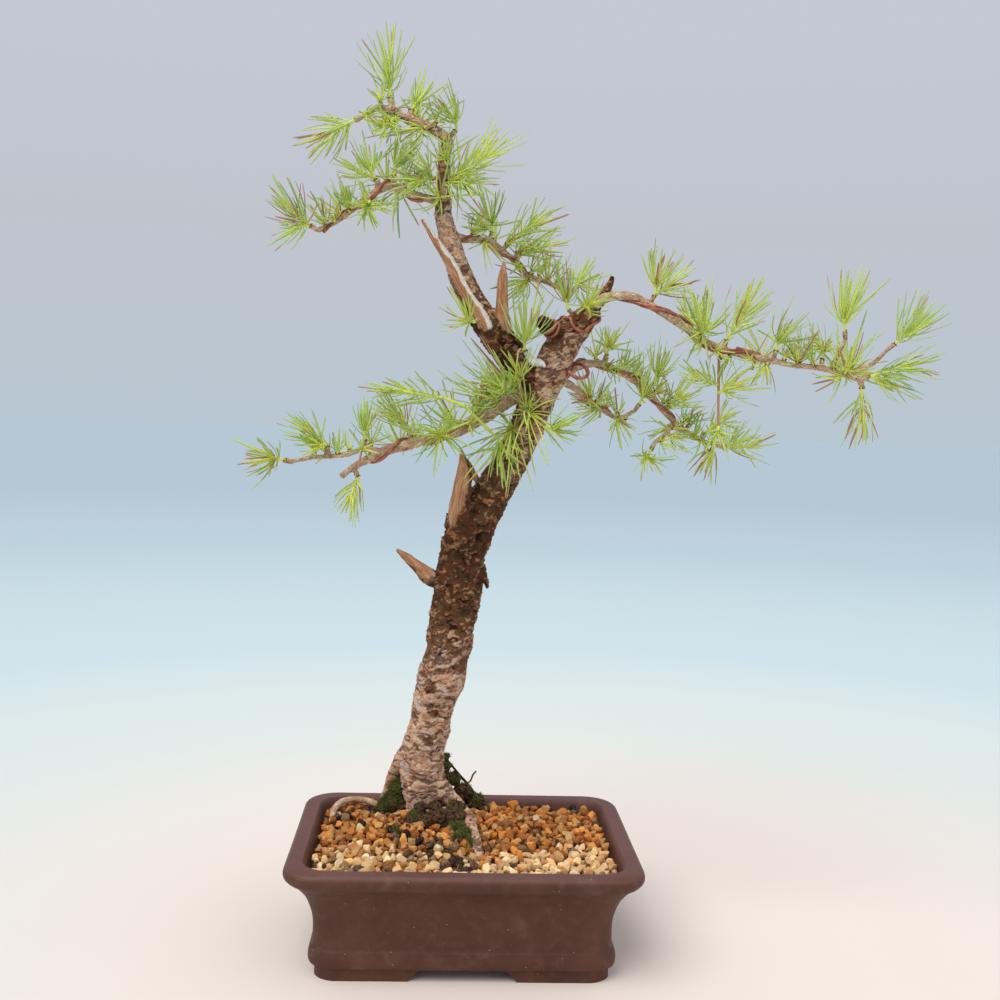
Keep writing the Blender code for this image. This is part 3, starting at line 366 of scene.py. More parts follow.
# The trunk and thick wood: one grown piece of larch with flaky bark, a broken top, surface roots and
# dead wood that was torn and carved bare. It is skinned from limb routes, then given its bark.
LIMBS = {
    "trunk": (0.11, [
        (-21, 30, 43, 10.5), (-20, 29, 56, 10.5), (-22, 28, 74, 11.0), (-21, 27, 92, 11.2),
        (-17, 26, 113, 11.2), (-13, 26, 129, 12.3), (-10, 25, 144, 12.0), (-7, 25, 170, 13.0),
        (-4, 25, 192, 12.6), (0, 25, 206, 12.0), (7, 25, 220, 11.0), (15, 25, 235, 9.8),
        (22, 25, 249, 9.2), (28, 25, 264, 9.2), (35, 25, 282, 9.8), (41, 25, 296, 9.3),
        (46, 25, 306, 8.8), (52, 25, 314, 7.8), (58, 25, 320, 6.4), (61, 25, 323, 4.6)]),
    "apex": (0.09, [
        (32, 25, 276, 8.0), (25, 24, 288, 8.2), (16, 22, 300, 8.0), (7, 20, 309, 7.8),
        (-4, 17, 326, 6.8), (-11, 16, 341, 6.0), (-18, 15, 362, 4.7), (-19, 14, 372, 4.2),
        (-19, 12, 394, 3.2), (-18, 12, 402, 3.0), (-28, 11, 408, 2.7), (-38, 10, 411, 2.5),
        (-46, 10, 416, 2.1)]),
    "low_jin": (0.12, [
        (-4, 20, 170, 6.5), (-13, 16, 179, 5.4), (-22, 13, 184, 4.3), (-30, 12, 191, 3.1),
        (-38, 11, 197, 1.0)]),
    "split_shard": (0.12, [
        (-6, 20, 192, 7.0), (-7, 16, 206, 6.4), (-6, 14, 222, 5.6), (-4.5, 13, 236, 4.2),
        (-6.5, 13, 249, 0.8)]),
    "long_jin": (0.08, [
        (10, 15, 298, 4.2), (2, 13, 315, 3.6), (-6, 11, 326, 3.2), (-12, 10, 336, 2.9),
        (-18, 9, 346, 2.5), (-29.5, 7, 362, 1.1)]),
    "cut_stub": (0.10, [
        (19, 20, 298, 4.2), (13, 16, 316, 3.4), (12, 15, 332, 3.0), (12.4, 15, 344, 1.0)]),
    "wired_stub": (0.10, [
        (45, 22, 307, 4.4), (37, 17, 311, 4.2), (31, 13, 315, 3.6)]),
    "top_stub": (0.10, [
        (59, 25, 320, 3.2), (66, 28, 331, 2.6), (70, 30, 340, 1.4)]),
    "root_left": (0.10, [
        (-22, 28, 98, 5.6), (-28.5, 30, 90, 4.6), (-35, 33, 80, 3.4), (-39, 37, 68, 2.8),
        (-42, 41, 57, 2.4), (-44, 43, 46, 2.2)]),
    "root_front": (0.10, [
        (-15, 26, 72, 6.0), (-5, 22, 63, 4.6), (1, 16, 58, 4.4), (3, 8, 58, 4.1),
        (4, 0, 56, 3.3), (6, -10, 54, 2.9), (7, -19, 51, 2.7), (8, -26, 46, 2.2)]),
    "root_right": (0.10, [
        (-18, 31, 66, 7.0), (-6, 36, 61, 5.2), (6, 41, 55, 3.8), (15, 45, 47, 2.8)]),
    "root_back": (0.10, [
        (-22, 33, 68, 7.0), (-29, 42, 60, 4.8), (-33, 48, 50, 3.2)]),
    "root_loop": (0.05, [
        (-43, 42, 54, 1.6), (-54, 44, 57, 1.7), (-64, 41, 57, 1.8), (-68, 33, 55, 1.7),
        (-69, 26, 49, 1.5)]),
    "right": (0.07, [
        (52, 25, 316, 4.4), (62, 24, 326, 3.2), (70, 23, 329, 2.5), (80, 21, 329, 2.2),
        (88, 20, 325, 2.2), (96, 18, 320, 2.2), (106, 16, 314, 2.1), (114, 14, 308, 2.0),
        (125, 12, 303, 2.0), (138, 10, 300, 1.9), (150, 8, 298, 1.8), (159, 6, 296, 1.7),
        (173, 3, 295, 1.6), (184, 1, 292, 1.5), (193, 0, 290, 1.3)]),
    "right_twig": (0.05, [
        (178, 2, 294, 1.4), (181, 1, 302, 1.3), (184, 0, 309, 1.1)]),
    "right_end_twig": (0.05, [
        (186, 1, 292, 1.4), (197, -1, 297, 1.3), (205, -2, 305, 1.1)]),
    "lower_right": (0.08, [
        (30, 25, 282, 6.0), (38, 28, 286, 5.2), (46, 32, 290, 4.0), (56, 37, 294, 2.4),
        (68, 42, 295, 2.0), (82, 48, 289, 1.9), (94, 52, 282, 1.8), (103, 56, 272, 1.8),
        (115, 60, 262, 1.7), (126, 62, 256, 1.5), (136, 64, 253, 1.3)]),
    "lower_right_fork": (0.07, [
        (44, 31, 286, 3.0), (54, 38, 281, 1.9), (64, 46, 274, 1.5), (78, 52, 267, 1.4),
        (88, 56, 271, 1.2)]),
    "lower_right_twig": (0.05, [
        (110, 59, 266, 1.4), (105, 56, 258, 1.2), (99, 54, 254, 1.1)]),
    "middle": (0.08, [
        (-16, 15, 357, 2.8), (-9, 20, 355, 2.2), (5, 27, 355, 1.9), (12, 31, 351, 1.8),
        (18, 34, 347, 1.7), (25, 37, 340, 1.6), (36, 40, 337, 1.5), (44, 42, 334, 1.3),
        (51, 44, 333, 1.2)]),
    "upper_left": (0.08, [
        (-19, 14, 372, 3.0), (-26, 13, 373, 2.4), (-35, 12, 375, 2.2), (-44, 10, 378, 2.0),
        (-50, 9, 376, 1.9), (-57, 8, 371, 1.8), (-70, 6, 360, 1.6), (-80, 4, 354, 1.4)]),
    "lower_left": (0.09, [
        (24, 24, 279, 5.2), (15, 18, 273, 4.6), (5, 13, 266, 4.0), (-9, 7, 258, 3.6),
        (-19, 3, 255, 3.0), (-31, -1, 251, 2.6), (-42, -4, 248, 2.5), (-50, -7, 244, 2.3),
        (-59, -9, 239, 1.9), (-65, -11, 234, 1.7)]),
    "lower_left_fork": (0.07, [
        (-45, -5, 246, 2.0), (-54, -8, 248, 1.6), (-62, -10, 245, 1.4), (-71, -12, 244, 1.3),
        (-80, -14, 243, 1.2), (-88, -16, 241, 1.1)]),
    "apex_left": (0.06, [
        (-42, 10, 414, 1.9), (-52, 10, 416, 1.7), (-60, 9, 411, 1.3)]),
}
THICK_LIMBS = ["trunk", "apex", "low_jin", "split_shard", "long_jin", "cut_stub", "wired_stub",
               "top_stub", "root_left", "root_front", "root_right", "root_back"]
TRUNK_VOXEL = 0.7
SAMPLE_SPACING = 2.0
POINTS_AT_ONCE = 4000
SOFTENING = 3
BARK_SEED = 5
# Where bark gives way to bare wood: millimetres along each dead limb
BARE_FROM = {"low_jin": 20.0, "split_shard": 12.0, "long_jin": 12.0, "cut_stub": 11.0}
SHARD_FACE = Vector((-0.62, -0.78, 0.1))
SHARD_BOTTOM = 208.0
SHARD_TOP = 236.0
# How light the bark is, from dark brown at 0 to pinkish tan at 1, by height above the table
TRUNK_LIGHTNESS = [(100, 1.0), (128, 0.92), (150, 0.62), (170, 0.32), (200, 0.15), (230, 0.36),
                   (246, 0.74), (285, 0.84), (308, 0.76), (318, 0.2)]
APEX_LIGHTNESS = [(280, 0.15), (312, 0.2), (326, 0.7), (350, 0.9)]
KNOT_SCARS = [(-20.5, 13, 125.7), (-16.6, 13, 113.3), (-18, 12, 96)]
KNOT_RADIUS = 5.0
FLAKES = [
    [(6, 21, 192, 1.0), (7.6, 20, 186, 1.7), (8.6, 20, 180, 1.6), (8.8, 21, 176, 0.9)],
    [(-12.6, 23, 216, 0.7), (-13.0, 21, 210, 1.3), (-12.4, 21, 202, 1.0)],
    [(-14.4, 23, 198, 0.8), (-15.0, 22, 194, 1.4), (-14.8, 22, 190, 0.9)],
    [(-3.4, 17, 244, 0.8), (-1.6, 17, 240, 1.4), (0.4, 18, 236, 2.0), (3.0, 19, 232, 2.4)],
]


def unit(vector):
    vector = np.asarray(vector, float)
    return vector / np.linalg.norm(vector)


def lengths_along(route):
    """How far along a route each of its points lies."""
    return np.append(0, np.cumsum(np.linalg.norm(np.diff(route[:, :3], axis=0), axis=1)))


def frames_along(centres):
    """Tangents and two side vectors at each point, turned as little as possible on the way."""
    tangents = np.gradient(centres, axis=0)
    tangents /= np.linalg.norm(tangents, axis=1)[:, None]
    seed = np.array([0, -1, 0]) if abs(tangents[0][1]) < 0.9 else np.array([0, 0, 1])
    side = unit(np.cross(tangents[0], seed))
    sides = []
    for tangent in tangents:
        side = unit(side - tangent * (side @ tangent))
        sides.append(side)
    sides = np.array(sides)
    return tangents, sides, np.cross(tangents, sides)


def tube(route, sides, knobs=0.0):
    """Points and faces of a closed tube along (x, y, z, radius) points, with knobs on it."""
    centres = route[:, :3]
    _, across, up = frames_along(centres)
    points = []
    for centre, radius, first, second in zip(centres, route[:, 3], across, up):
        for turn in np.arange(sides) * math.tau / sides:
            outwards = first * math.cos(turn) + second * math.sin(turn)
            place = Vector(centre + outwards * radius)
            swell = noise.noise(place / 11.0) + 0.6 * noise.noise(place / 5.0)
            points.append(centre + outwards * radius * (1 + knobs * swell))
    return points, skin(len(centres), sides)


class Bundle:
    """Points and faces of many small shapes, gathered into one mesh."""

    def __init__(self):
        self.points = []
        self.faces = []

    def add(self, points, faces):
        start = len(self.points)
        self.points.extend(points)
        self.faces.extend([tuple(start + index for index in face) for face in faces])


class Limb_Samples:
    """Points along every limb, to ask which limb a place of the surface belongs to."""

    def __init__(self, names):
        self.names = names
        rows = []
        for number, name in enumerate(names):
            route = smooth_route(LIMBS[name][1], SAMPLE_SPACING)
            tangents, across, up = frames_along(route[:, :3])
            along = lengths_along(route)
            for index, row in enumerate(route):
                rows.append([*row, number, along[index], *across[index], *up[index]])
        self.rows = np.array(rows)

    def nearest(self, points):
        """Each point's limb number, millimetres along it, and turn round it."""
        found = []
        for start in range(0, len(points), POINTS_AT_ONCE):
            chunk = points[start:start + POINTS_AT_ONCE]
            away = np.linalg.norm(chunk[:, None] - self.rows[None, :, :3], axis=2) - self.rows[:, 3]
            row = self.rows[away.argmin(1)]
            offset = chunk - row[:, :3]
            turn = np.arctan2((offset * row[:, 9:12]).sum(1), (offset * row[:, 6:9]).sum(1))
            found.append(np.column_stack([row[:, 4:6], turn, row[:, 3]]))
        return np.vstack(found)


def smooth_step(value, start, end):
    share = min(max((value - start) / (end - start), 0.0), 1.0)
    return share * share * (3 - 2 * share)


def bark_at(place, radius, light):
    """Height of the bark in millimetres, and how deep in a crack the place is."""
    wander = noise.noise_vector(place / 6.5) * 2.8 + noise.noise_vector(place / 2.4) * 0.9
    plate = place + wander
    wrinkled = smooth_step(light, 0.55, 0.95)
    line = abs(noise.noise(Vector((plate.x / 8, plate.y / 8, plate.z / 3.2))))
    broken = smooth_step(noise.noise(place / 9 + wander / 9), 0.0, 0.3)
    crack = (1 - smooth_step(line, 0.0, 0.12)) * broken
    distances, centres = noise.voronoi(Vector((plate.x / 5.6, plate.y / 5.6, plate.z / 3.4)))
    seam = 1 - smooth_step(distances[1] - distances[0], 0.0, 0.16)
    lift = noise.cell(centres[0] * 7.7) - 0.5
    scale = place + wander * 0.6
    small, specks = noise.voronoi(Vector((scale.x / 2.6, scale.y / 2.6, scale.z / 1.5)))
    chip = noise.cell(specks[0] * 5.3) - 0.5
    fine_seam = 1 - smooth_step(small[1] - small[0], 0.0, 0.3)
    rough = noise.noise(Vector((place.x / 1.9, place.y / 1.9, place.z / 1.1)))
    wave = place.z + wander.x * 1.3
    ripple = noise.noise(Vector((place.x / 13, place.y / 13, wave / 1.15)))
    ripple += 0.8 * noise.noise(Vector((place.x / 6, place.y / 6, wave / 0.8)))
    line = abs(noise.noise(Vector((place.x / 15, place.y / 15, (place.z + wander.x * 0.6) / 2.1))))
    folded = smooth_step(noise.noise(wander / 2 + place / 8), -0.1, 0.25)
    crease = (1 - smooth_step(line, 0.0, 0.1)) * folded
    share = min(1.0, 0.2 + radius / 11.0)
    height = (0.42 * lift - 0.42 * seam + 0.4 * chip - 0.32 * fine_seam) * (1 - 0.85 * wrinkled)
    height += 0.45 * rough * (1 - 0.55 * wrinkled) + (0.52 * ripple - 0.45 * crease) * wrinkled
    height -= 0.7 * crack * (1 - wrinkled)
    broad = 0.6 * noise.noise(place / 17.0) + 0.3 * noise.noise(place / 7.5)
    depth = max(crack * (1 - wrinkled), crease * wrinkled * 0.36)
    return (height + broad) * share, height * (1.25 + 0.7 * wrinkled), depth


def skin_over(piece, voxel, softening=0):
    """Join overlapping shapes under one closed skin; give its points and the ways that they face."""
    remesh = piece.modifiers.new("Skin", "REMESH")
    remesh.mode = "VOXEL"
    remesh.voxel_size = voxel * MM
    if softening:
        soften = piece.modifiers.new("Soften", "SMOOTH")
        soften.iterations = softening
    apply_modifiers(piece)
    return points_of(piece), np.array([vertex.normal for vertex in piece.data.vertices])


def move_points(piece, points):
    piece.data.vertices.foreach_set("co", in_frame(points).astype(np.float32).ravel())
    piece.data.update()


def keep_values(piece, name, values, kind="FLOAT", field="value"):
    """Keep a value at each point of a mesh, for its finish to measure."""
    flat = np.array(values, np.float32).ravel()
    piece.data.attributes.new(name, kind, "POINT").data.foreach_set(field, flat)


def grow_wood(name, limbs, extra, voxel, spacing, sides, character, material):
    """Skin limbs into one mesh, then raise its bark and keep what its finish needs."""
    bundle = Bundle()
    for limb in limbs:
        knobs, points = LIMBS[limb]
        bundle.add(*tube(smooth_route(points, spacing), sides, knobs))
    for route, route_sides in extra:
        bundle.add(*tube(route, route_sides, 0.08))
    wood = make_piece(name, bundle.points, bundle.faces, material)
    points, normals = skin_over(wood, voxel, SOFTENING)
    owners = Limb_Samples(limbs).nearest(points)
    notes = {"crack": [], "bare": [], "ridge": [], "light": []}
    fibre = []
    for index, (number, along, turn, radius) in enumerate(owners):
        limb = limbs[int(number)]
        place = Vector(points[index])
        bare, light = character(limb, along, place, Vector(normals[index]))
        height, ridge, depth = bark_at(place, radius, light)
        line = Vector((math.cos(turn) * radius, math.sin(turn) * radius, along * 0.1))
        groove = noise.noise(line / 0.9) + 0.6 * noise.noise(line / 2.6)
        points[index] += normals[index] * (height * (1 - bare) + (0.28 * groove - 0.25) * bare)
        notes["crack"].append(depth * (1 - bare))
        notes["bare"].append(bare)
        notes["light"].append(light)
        notes["ridge"].append(0.5 + 0.5 * ridge)
        fibre.append(line)
    move_points(wood, points)
    for note, values in notes.items():
        keep_values(wood, note, values)
    keep_values(wood, "fibre", np.array(fibre) * MM, "FLOAT_VECTOR", "vector")
    return wood


def thick_character(limb, along, place, normal):
    """How bare of bark the thick wood is, as the torn and carved dead ends are, and how light."""
    tones = APEX_LIGHTNESS if limb in ("apex", "long_jin", "cut_stub") else TRUNK_LIGHTNESS
    heights, shades = zip(*tones)
    light = float(np.interp(place.z + 9 * noise.noise(place / 16), heights, shades))
    light += 0.16 * noise.noise(place / 7)
    knot = min((place - Vector(scar)).length for scar in KNOT_SCARS)
    light -= 0.35 * (1 - smooth_step(knot + noise.noise(place / 2.5), KNOT_RADIUS * 0.75, KNOT_RADIUS))
    if limb == "wired_stub":
        light = 0.12
    if limb not in BARE_FROM:
        return 0.0, light
    start = BARE_FROM[limb] + 4.0 * noise.noise(place / 4.0)
    bare = smooth_step(along, start, start + 2.5)
    if limb == "split_shard":
        bare *= smooth_step(place.z + 3 * noise.noise(place / 3), 207, 213)
        narrow = 0.75 * (1 - smooth_step(place.z, SHARD_BOTTOM, SHARD_TOP))
        bare *= smooth_step(normal.dot(SHARD_FACE), 0.1 + narrow, 0.3 + narrow)
    if limb == "low_jin":
        bare *= smooth_step(normal.z + 0.6 * noise.noise(place / 3.0), -0.75, -0.45)
    bleach_and_highlight = 0.0
    # The long jin's right and front faces are painted near white: bleached bare wood, with painted highlight
    # where the light from the right falls.
    if limb == "long_jin":
        facing = normal.x - 0.3 * normal.y + 0.5 * noise.noise(Vector((place.x / 3, place.y / 3, along / 14)))
        bleach_and_highlight = 0.8 * smooth_step(facing, 0.35, 0.65)
    return bare, light * (1 - bare) + bleach_and_highlight * bare


def larch_bark(name, young):
    """Bark for thick or young wood, with bare wood where the mesh says so."""
    bark = Finish(name, Roughness=0.85, Specular_IOR_Level=0.25)
    crack = bark.measure("crack")
    bare = bark.measure("bare")
    ridge = bark.measure("ridge")
    light = bark.measure("light")
    level = (1, 1, 1.8)
    # The low parts of the bark's relief are darkened below: painted shade, over the darker bark in its
    # hollows.
    hollow_shade = 1 - bark.fade(ridge, 0.1, 0.45)
    # The raised parts of the bark's relief are lightened below: painted highlight, over their paler weathered
    # tops.
    proud_highlight = bark.fade(ridge, 0.5, 0.8)
    grit = bark.fade(bark.lumps(0.8, 4, level), 0.48, 0.62)
    if young:
        colour = bark.mix(bark.fade(bark.lumps(6, 5), 0.36, 0.64), tone(244, 212, 180), tone(210, 168, 132))
        colour = bark.mix(bark.fade(bark.lumps(2.6, 4), 0.54, 0.68) * 0.5, colour, tone(138, 100, 74))
        # Painted highlight on the raised scales of the young bark.
        colour = bark.mix(proud_highlight * 0.45, colour, tone(250, 230, 208))
        # Painted shade in the hollows of the young bark.
        colour = bark.mix(hollow_shade * 0.35, colour, tone(128, 88, 62))
    else:
        colour = bark.mix(bark.fade(light, 0.0, 0.6), tone(134, 96, 66), tone(206, 160, 122))
        colour = bark.mix(bark.fade(light, 0.5, 1.0), colour, tone(238, 198, 164))
        grey = bark.fade(bark.lumps(9, 4, level), 0.5, 0.62) * bark.fade(light, 0.5, 0.8)
        colour = bark.mix(grey * 0.5, colour, tone(206, 182, 176))
        umber = bark.fade(bark.lumps(4, 5, level), 0.5, 0.6)
        colour = bark.mix(umber * 0.5, colour, tone(128, 112, 104), "MULTIPLY")
        moss = bark.fade(bark.lumps(7, 5), 0.54, 0.64) * (1 - bark.fade(light, 0.3, 0.8))
        colour = bark.mix(moss * 0.5, colour, tone(100, 94, 50))
        # Pale flecks and whitish scurf on the raised scales: their weathered tops, lightened further as
        # painted highlight.
        pale = bark.fade(bark.lumps(3.2, 4, level), 0.46, 0.6) * proud_highlight
        colour = bark.mix(pale * 0.5, colour, tone(220, 190, 170))
        scurf_and_highlight = bark.fade(bark.lumps(2, 3, level), 0.6, 0.68) * proud_highlight
        colour = bark.mix(scurf_and_highlight * 0.7, colour, tone(232, 212, 200))
        rust = bark.fade(bark.lumps(7, 4, level), 0.47, 0.6)
        colour = bark.mix(rust * 0.5, colour, tone(194, 120, 72))
        # Painted shade: the hollows of the old bark darkened.
        colour = bark.mix(hollow_shade * 0.85, colour, tone(124, 104, 90), "MULTIPLY")
    colour = bark.mix(grit * 0.4, colour, tone(180, 168, 158), "MULTIPLY")
    # The cracks are painted near black: painted shade in the fissures, over the darker inner bark.
    colour = bark.mix(bark.fade(crack, 0.1, 0.7) * 0.9, colour, tone(34, 22, 16))
    fibre = bark.measure("fibre", "Vector")
    streaks = bark.lumps(1.3, 4, place=fibre)
    bare_colour = bark.mix(bark.fade(streaks, 0.34, 0.66), tone(172, 116, 80), tone(214, 162, 122))
    rot = bark.fade(bark.lumps(8, 3), 0.45, 0.7)
    bare_colour = bark.mix(rot * 0.5, bare_colour, tone(176, 112, 72))
    splits = bark.fade(bark.lumps(0.6, 3, place=fibre), 0.6, 0.7)
    bare_colour = bark.mix(splits * 0.7, bare_colour, tone(88, 60, 44))
    silver = bark.fade(bark.lumps(5, 4, place=fibre), 0.56, 0.68)
    bare_colour = bark.mix(silver * 0.45, bare_colour, tone(226, 194, 166))
    # Bare wood with a high lightness turns near white: the bleached long jin, with its painted highlight.
    bare_colour = bark.mix(bark.fade(light, 0.3, 0.7), bare_colour, tone(244, 232, 218))
    colour = bark.mix(bare, colour, bare_colour)
    relief = bark.lumps(1.2, 6, level) * 0.8 - grit * 0.4 + streaks * bare * 0.4
    return bark.show(colour, 0.92 - bare * 0.2, relief, 0.6, 0.9)


noise.seed_set(BARK_SEED)
flakes = [(smooth_route(flake, 1.0), 12) for flake in FLAKES]
trunk = grow_wood("trunk_wood", THICK_LIMBS, flakes, TRUNK_VOXEL, 2.5, 36, thick_character,
                  larch_bark("old_bark", False))
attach(trunk, "root")
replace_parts(trunk, "tree")


# The branches, twigs and spurs: young pinkish-brown wood with thin, finely cracked bark. Each spur is a
# short ringed barrel that carries one spray of needles. A thin root that loops over the soil is here too.
THIN_LIMBS = [name for name in LIMBS if name not in THICK_LIMBS]
BRANCH_VOXEL = 0.44
PEG_REACH = 2.6
PEG_RADIUS = 1.25
PEG_RINGS = 9
SPRAYS = {
    "spray_apex_leader": ((-48, 10, 420), [((0, 0, 0), (-1, -1, 13), 15, 20, 62)]),
    "spray_apex_right": ((-40, 10, 412), [((0, 0, 0), (2, 2, 4), 11, 15, 70)]),
    "spray_apex_left": ((-60, 9, 410), [((0, 0, 0), (-11, -4, -7), 17, 18, 62)]),
    "spray_apex_front": ((-43, 10, 412), [((0, 0, 0), (-6, -8, -6), 13, 15, 62)]),
    "spray_apex_spur": ((-18, 12, 403), [((0, 0, 0), (-1, -1, 5), 13, 15, 68)]),
    "spray_crown_right": ((-18, 13, 379), [
        ((0, 0, 0), (13, -6, 10), 17, 20, 60), ((0, 0, 0), (2, -4, -2), 7, 16, 80)]),
    "spray_crown_front": ((-18, 12, 388), [
        ((0, 0, 0), (-10, -9, -5), 12, 15, 62), ((0, 0, 0), (-3, -5, 4), 8, 15, 60)]),
    "spray_crown_back": ((-19, 13, 384), [((0, 0, 0), (5, 9, 4), 13, 17, 66)]),
    "spray_upper_left_a": ((-42, 11, 378), [((0, 0, 0), (1, -1, 4), 12, 14, 62)]),
    "spray_upper_left_b": ((-51, 9, 376), [
        ((0, 0, 0), (-3, -1, 5), 9, 15, 60), ((0, 0, 0), (-9, -2, 2), 8, 13, 60)]),
    "spray_upper_left_c": ((-55, 8, 372), [((0, 0, 0), (-1, -5, -4), 15, 17, 95)]),
    "spray_upper_left_tip": ((-80, 4, 354), [
        ((0, 0, 0), (-8, -3, 5), 15, 19, 72), ((0, 0, 0), (-7, -2, -3), 7, 15, 60)]),
    "spray_middle_a": ((3, 26, 355), [
        ((0, 0, 0), (-1, -2, 4), 10, 18, 70), ((0, 0, 0), (-4, -4, 0), 6, 13, 60)]),
    "spray_middle_b": ((13, 31, 351), [((0, 0, 0), (13, -3, 10), 16, 17, 60)]),
    "spray_middle_c": ((21, 35, 345), [((0, 0, 0), (12, -4, 4), 12, 16, 60)]),
    "spray_middle_end": ((51, 44, 333), [((0, 0, 0), (2, 4, 3), 12, 16, 80)]),
    "spray_fork_left": ((-2, 14, 318), [((0, 0, 0), (-4, -4, 1), 12, 16, 75)]),
    "spray_knob_front": ((58, 25, 321), [((0, 0, 0), (-1, -5, 1), 17, 15, 100)]),
    "spray_knob_top": ((55, 25, 317), [((0, 0, 0), (-1, 1, 6), 12, 16, 70)]),
    "spray_right_a": ((90, 19, 327), [
        ((0, 0, 0), (0, -1, 5), 10, 18, 55), ((0, 0, 0), (8, -2, 5), 10, 16, 60)]),
    "spray_right_b": ((112, 15, 309), [
        ((0, 0, 0), (-1, -5, 2), 14, 22, 100), ((0, 0, 0), (0, 1, 7), 9, 19, 50)]),
    "spray_right_c": ((129, 12, 302), [((0, 0, 0), (8, -4, 15), 14, 18, 55)]),
    "spray_right_d": ((149, 8, 298), [((0, 0, 0), (1, -1, 4), 12, 17, 58)]),
    "spray_right_e": ((168, 4, 295), [((0, 0, 0), (0, -1, 4), 12, 13, 72)]),
    "spray_right_twig": ((184, 0, 309), [((0, 0, 0), (-1, -1, 6), 14, 20, 62)]),
    "spray_right_end_twig": ((205, -2, 305), [((0, 0, 0), (8, -1, 7), 17, 18, 58)]),
    "spray_right_end_front": ((188, 1, 291), [
        ((0, 0, 0), (-2, -5, 1), 13, 18, 100), ((0, 0, 0), (-8, -5, -5), 5, 15, 60)]),
    "spray_right_end_down": ((191, 0, 290), [((0, 0, 0), (1, -1, -17), 13, 17, 60)]),
    "spray_right_end_tip": ((193, 0, 290), [
        ((0, 0, 0), (19, -2, 6), 16, 18, 55), ((0, 0, 0), (7, 3, -4), 6, 15, 55)]),
    "spray_right_back": ((108, 16, 313), [((0, 0, 0), (2, 6, 3), 13, 16, 75)]),
    "spray_hanging_twig": ((125, 12, 303), [
        ((0, 0, 0), (1, 0, -36), 0, 0, 0), ((0, 0, -12), (-13, -3, 4), 11, 12, 62),
        ((0, 0, -16), (4, -3, 2), 10, 17, 90), ((1, 0, -33), (0, -1, -3), 9, 11, 95)]),
    "spray_lower_right_a": ((67, 42, 295), [((0, 0, 0), (1, -1, 4), 12, 14, 75)]),
    "spray_lower_right_b": ((91, 51, 284), [((0, 0, 0), (1, -1, 5), 12, 14, 75)]),
    "spray_lower_right_c": ((103, 56, 272), [((0, 0, 0), (4, -4, 4), 12, 16, 80)]),
    "spray_lower_right_d": ((121, 61, 259), [((0, 0, 0), (9, -4, 9), 12, 15, 62)]),
    "spray_lower_right_twig": ((99, 54, 254), [((0, 0, 0), (-2, -1, -4), 14, 14, 90)]),
    "spray_lower_right_tip": ((136, 64, 253), [
        ((0, 0, 0), (12, -2, 0), 15, 15, 66), ((0, 0, 0), (3, 6, 3), 6, 14, 60)]),
    "spray_fork_end": ((88, 56, 271), [((0, 0, 0), (2, -2, 4), 14, 15, 85)]),
    "spray_lower_left_tip": ((-88, -16, 241), [((0, 0, 0), (-5, -3, 1), 18, 19, 95)]),
    "spray_lower_left_a": ((-74, -12, 244), [
        ((0, 0, 0), (-9, -2, 7), 14, 14, 60), ((0, 0, 0), (-3, -5, 0), 6, 12, 60)]),
    "spray_lower_left_b": ((-53, -8, 248), [((0, 0, 0), (0, -1, 4), 11, 12, 75)]),
    "spray_lower_left_c": ((-32, -1, 251), [((0, 0, 0), (-7, -3, 8), 13, 15, 62)]),
    "spray_lower_left_front": ((-24, 1, 253), [((0, 0, 0), (0, -5, 0), 18, 20, 100)]),
    "spray_lower_left_down": ((-57, -9, 240), [((0, 0, 0), (-4, -1, -9), 13, 13, 66)]),
    "spray_green_shoot": ((17, 25, 259), [
        ((0, 0, 0), (-6, -8, 5), 0, 0, 0), ((-6, -8, 5), (-13, -9, 12), 0, 0, 0),
        ((-19, -17, 17), (-11, -4, 4), 0, 0, 0), ((-30, -21, 21), (-25, -6, 3), 16, 17, 62),
        ((-1, -2, 1), (0, -3, -4), 10, 17, 75)]),
    "spray_fork_up": ((20, 22, 296), [((0, 0, 0), (0, -3, 5), 16, 22, 75)]),
    "spray_fork_front": ((14, 18, 273), [
        ((0, 0, 0), (-2, -6, 2), 11, 15, 95), ((0, 0, 0), (-8, -5, 5), 7, 14, 60)]),
    "spray_trunk_front": ((25, 25, 265), [((0, 0, 0), (4, -5, -1), 11, 15, 75)]),
}
CAD_SPACING = {"trunk": 14.0, "apex": 11.0, "right_twig": 5.0, "right_end_twig": 5.0,
               "lower_right_twig": 6.0, "apex_left": 5.0}
COMMON_SPACING = 12.0


def nearest_wood(place):
    """The nearest point of any limb's middle line, its direction, and whether the limb ends there."""
    best = None
    for route in cad_routes.values():
        distances = np.linalg.norm(route[:, :3] - place, axis=1)
        index = int(distances.argmin())
        if best is None or distances[index] < best[0]:
            before, after = route[max(index - 1, 0)], route[min(index + 1, len(route) - 1)]
            at_end = index == len(route) - 1
            best = (distances[index], route[index], unit((after - before)[:3]), at_end)
    return best[1:]


def spur_for(place, stem):
    """The middle line of the short spur that carries a spray, and the way that it points."""
    wood, direction, at_end = nearest_wood(np.array(place, float))
    out = unit(stem)
    if not at_end:
        out = unit(out - 0.9 * direction * (out @ direction))
    return wood[:3], wood[:3] + out * (wood[3] + PEG_REACH), out


def ringed_barrel(start, end):
    """A spur with the scars of each year's growth round it."""
    rows = []
    for step, share in enumerate(np.linspace(0, 1, PEG_RINGS)):
        swell = 0.16 if step % 2 else -0.08
        rows.append([*(start + (end - start) * share), PEG_RADIUS + swell + 0.2 * share])
    return np.array(rows)


def young_character(limb, along, place, normal):
    """Young wood has all its bark, and one lightness."""
    return 0.0, 0.8


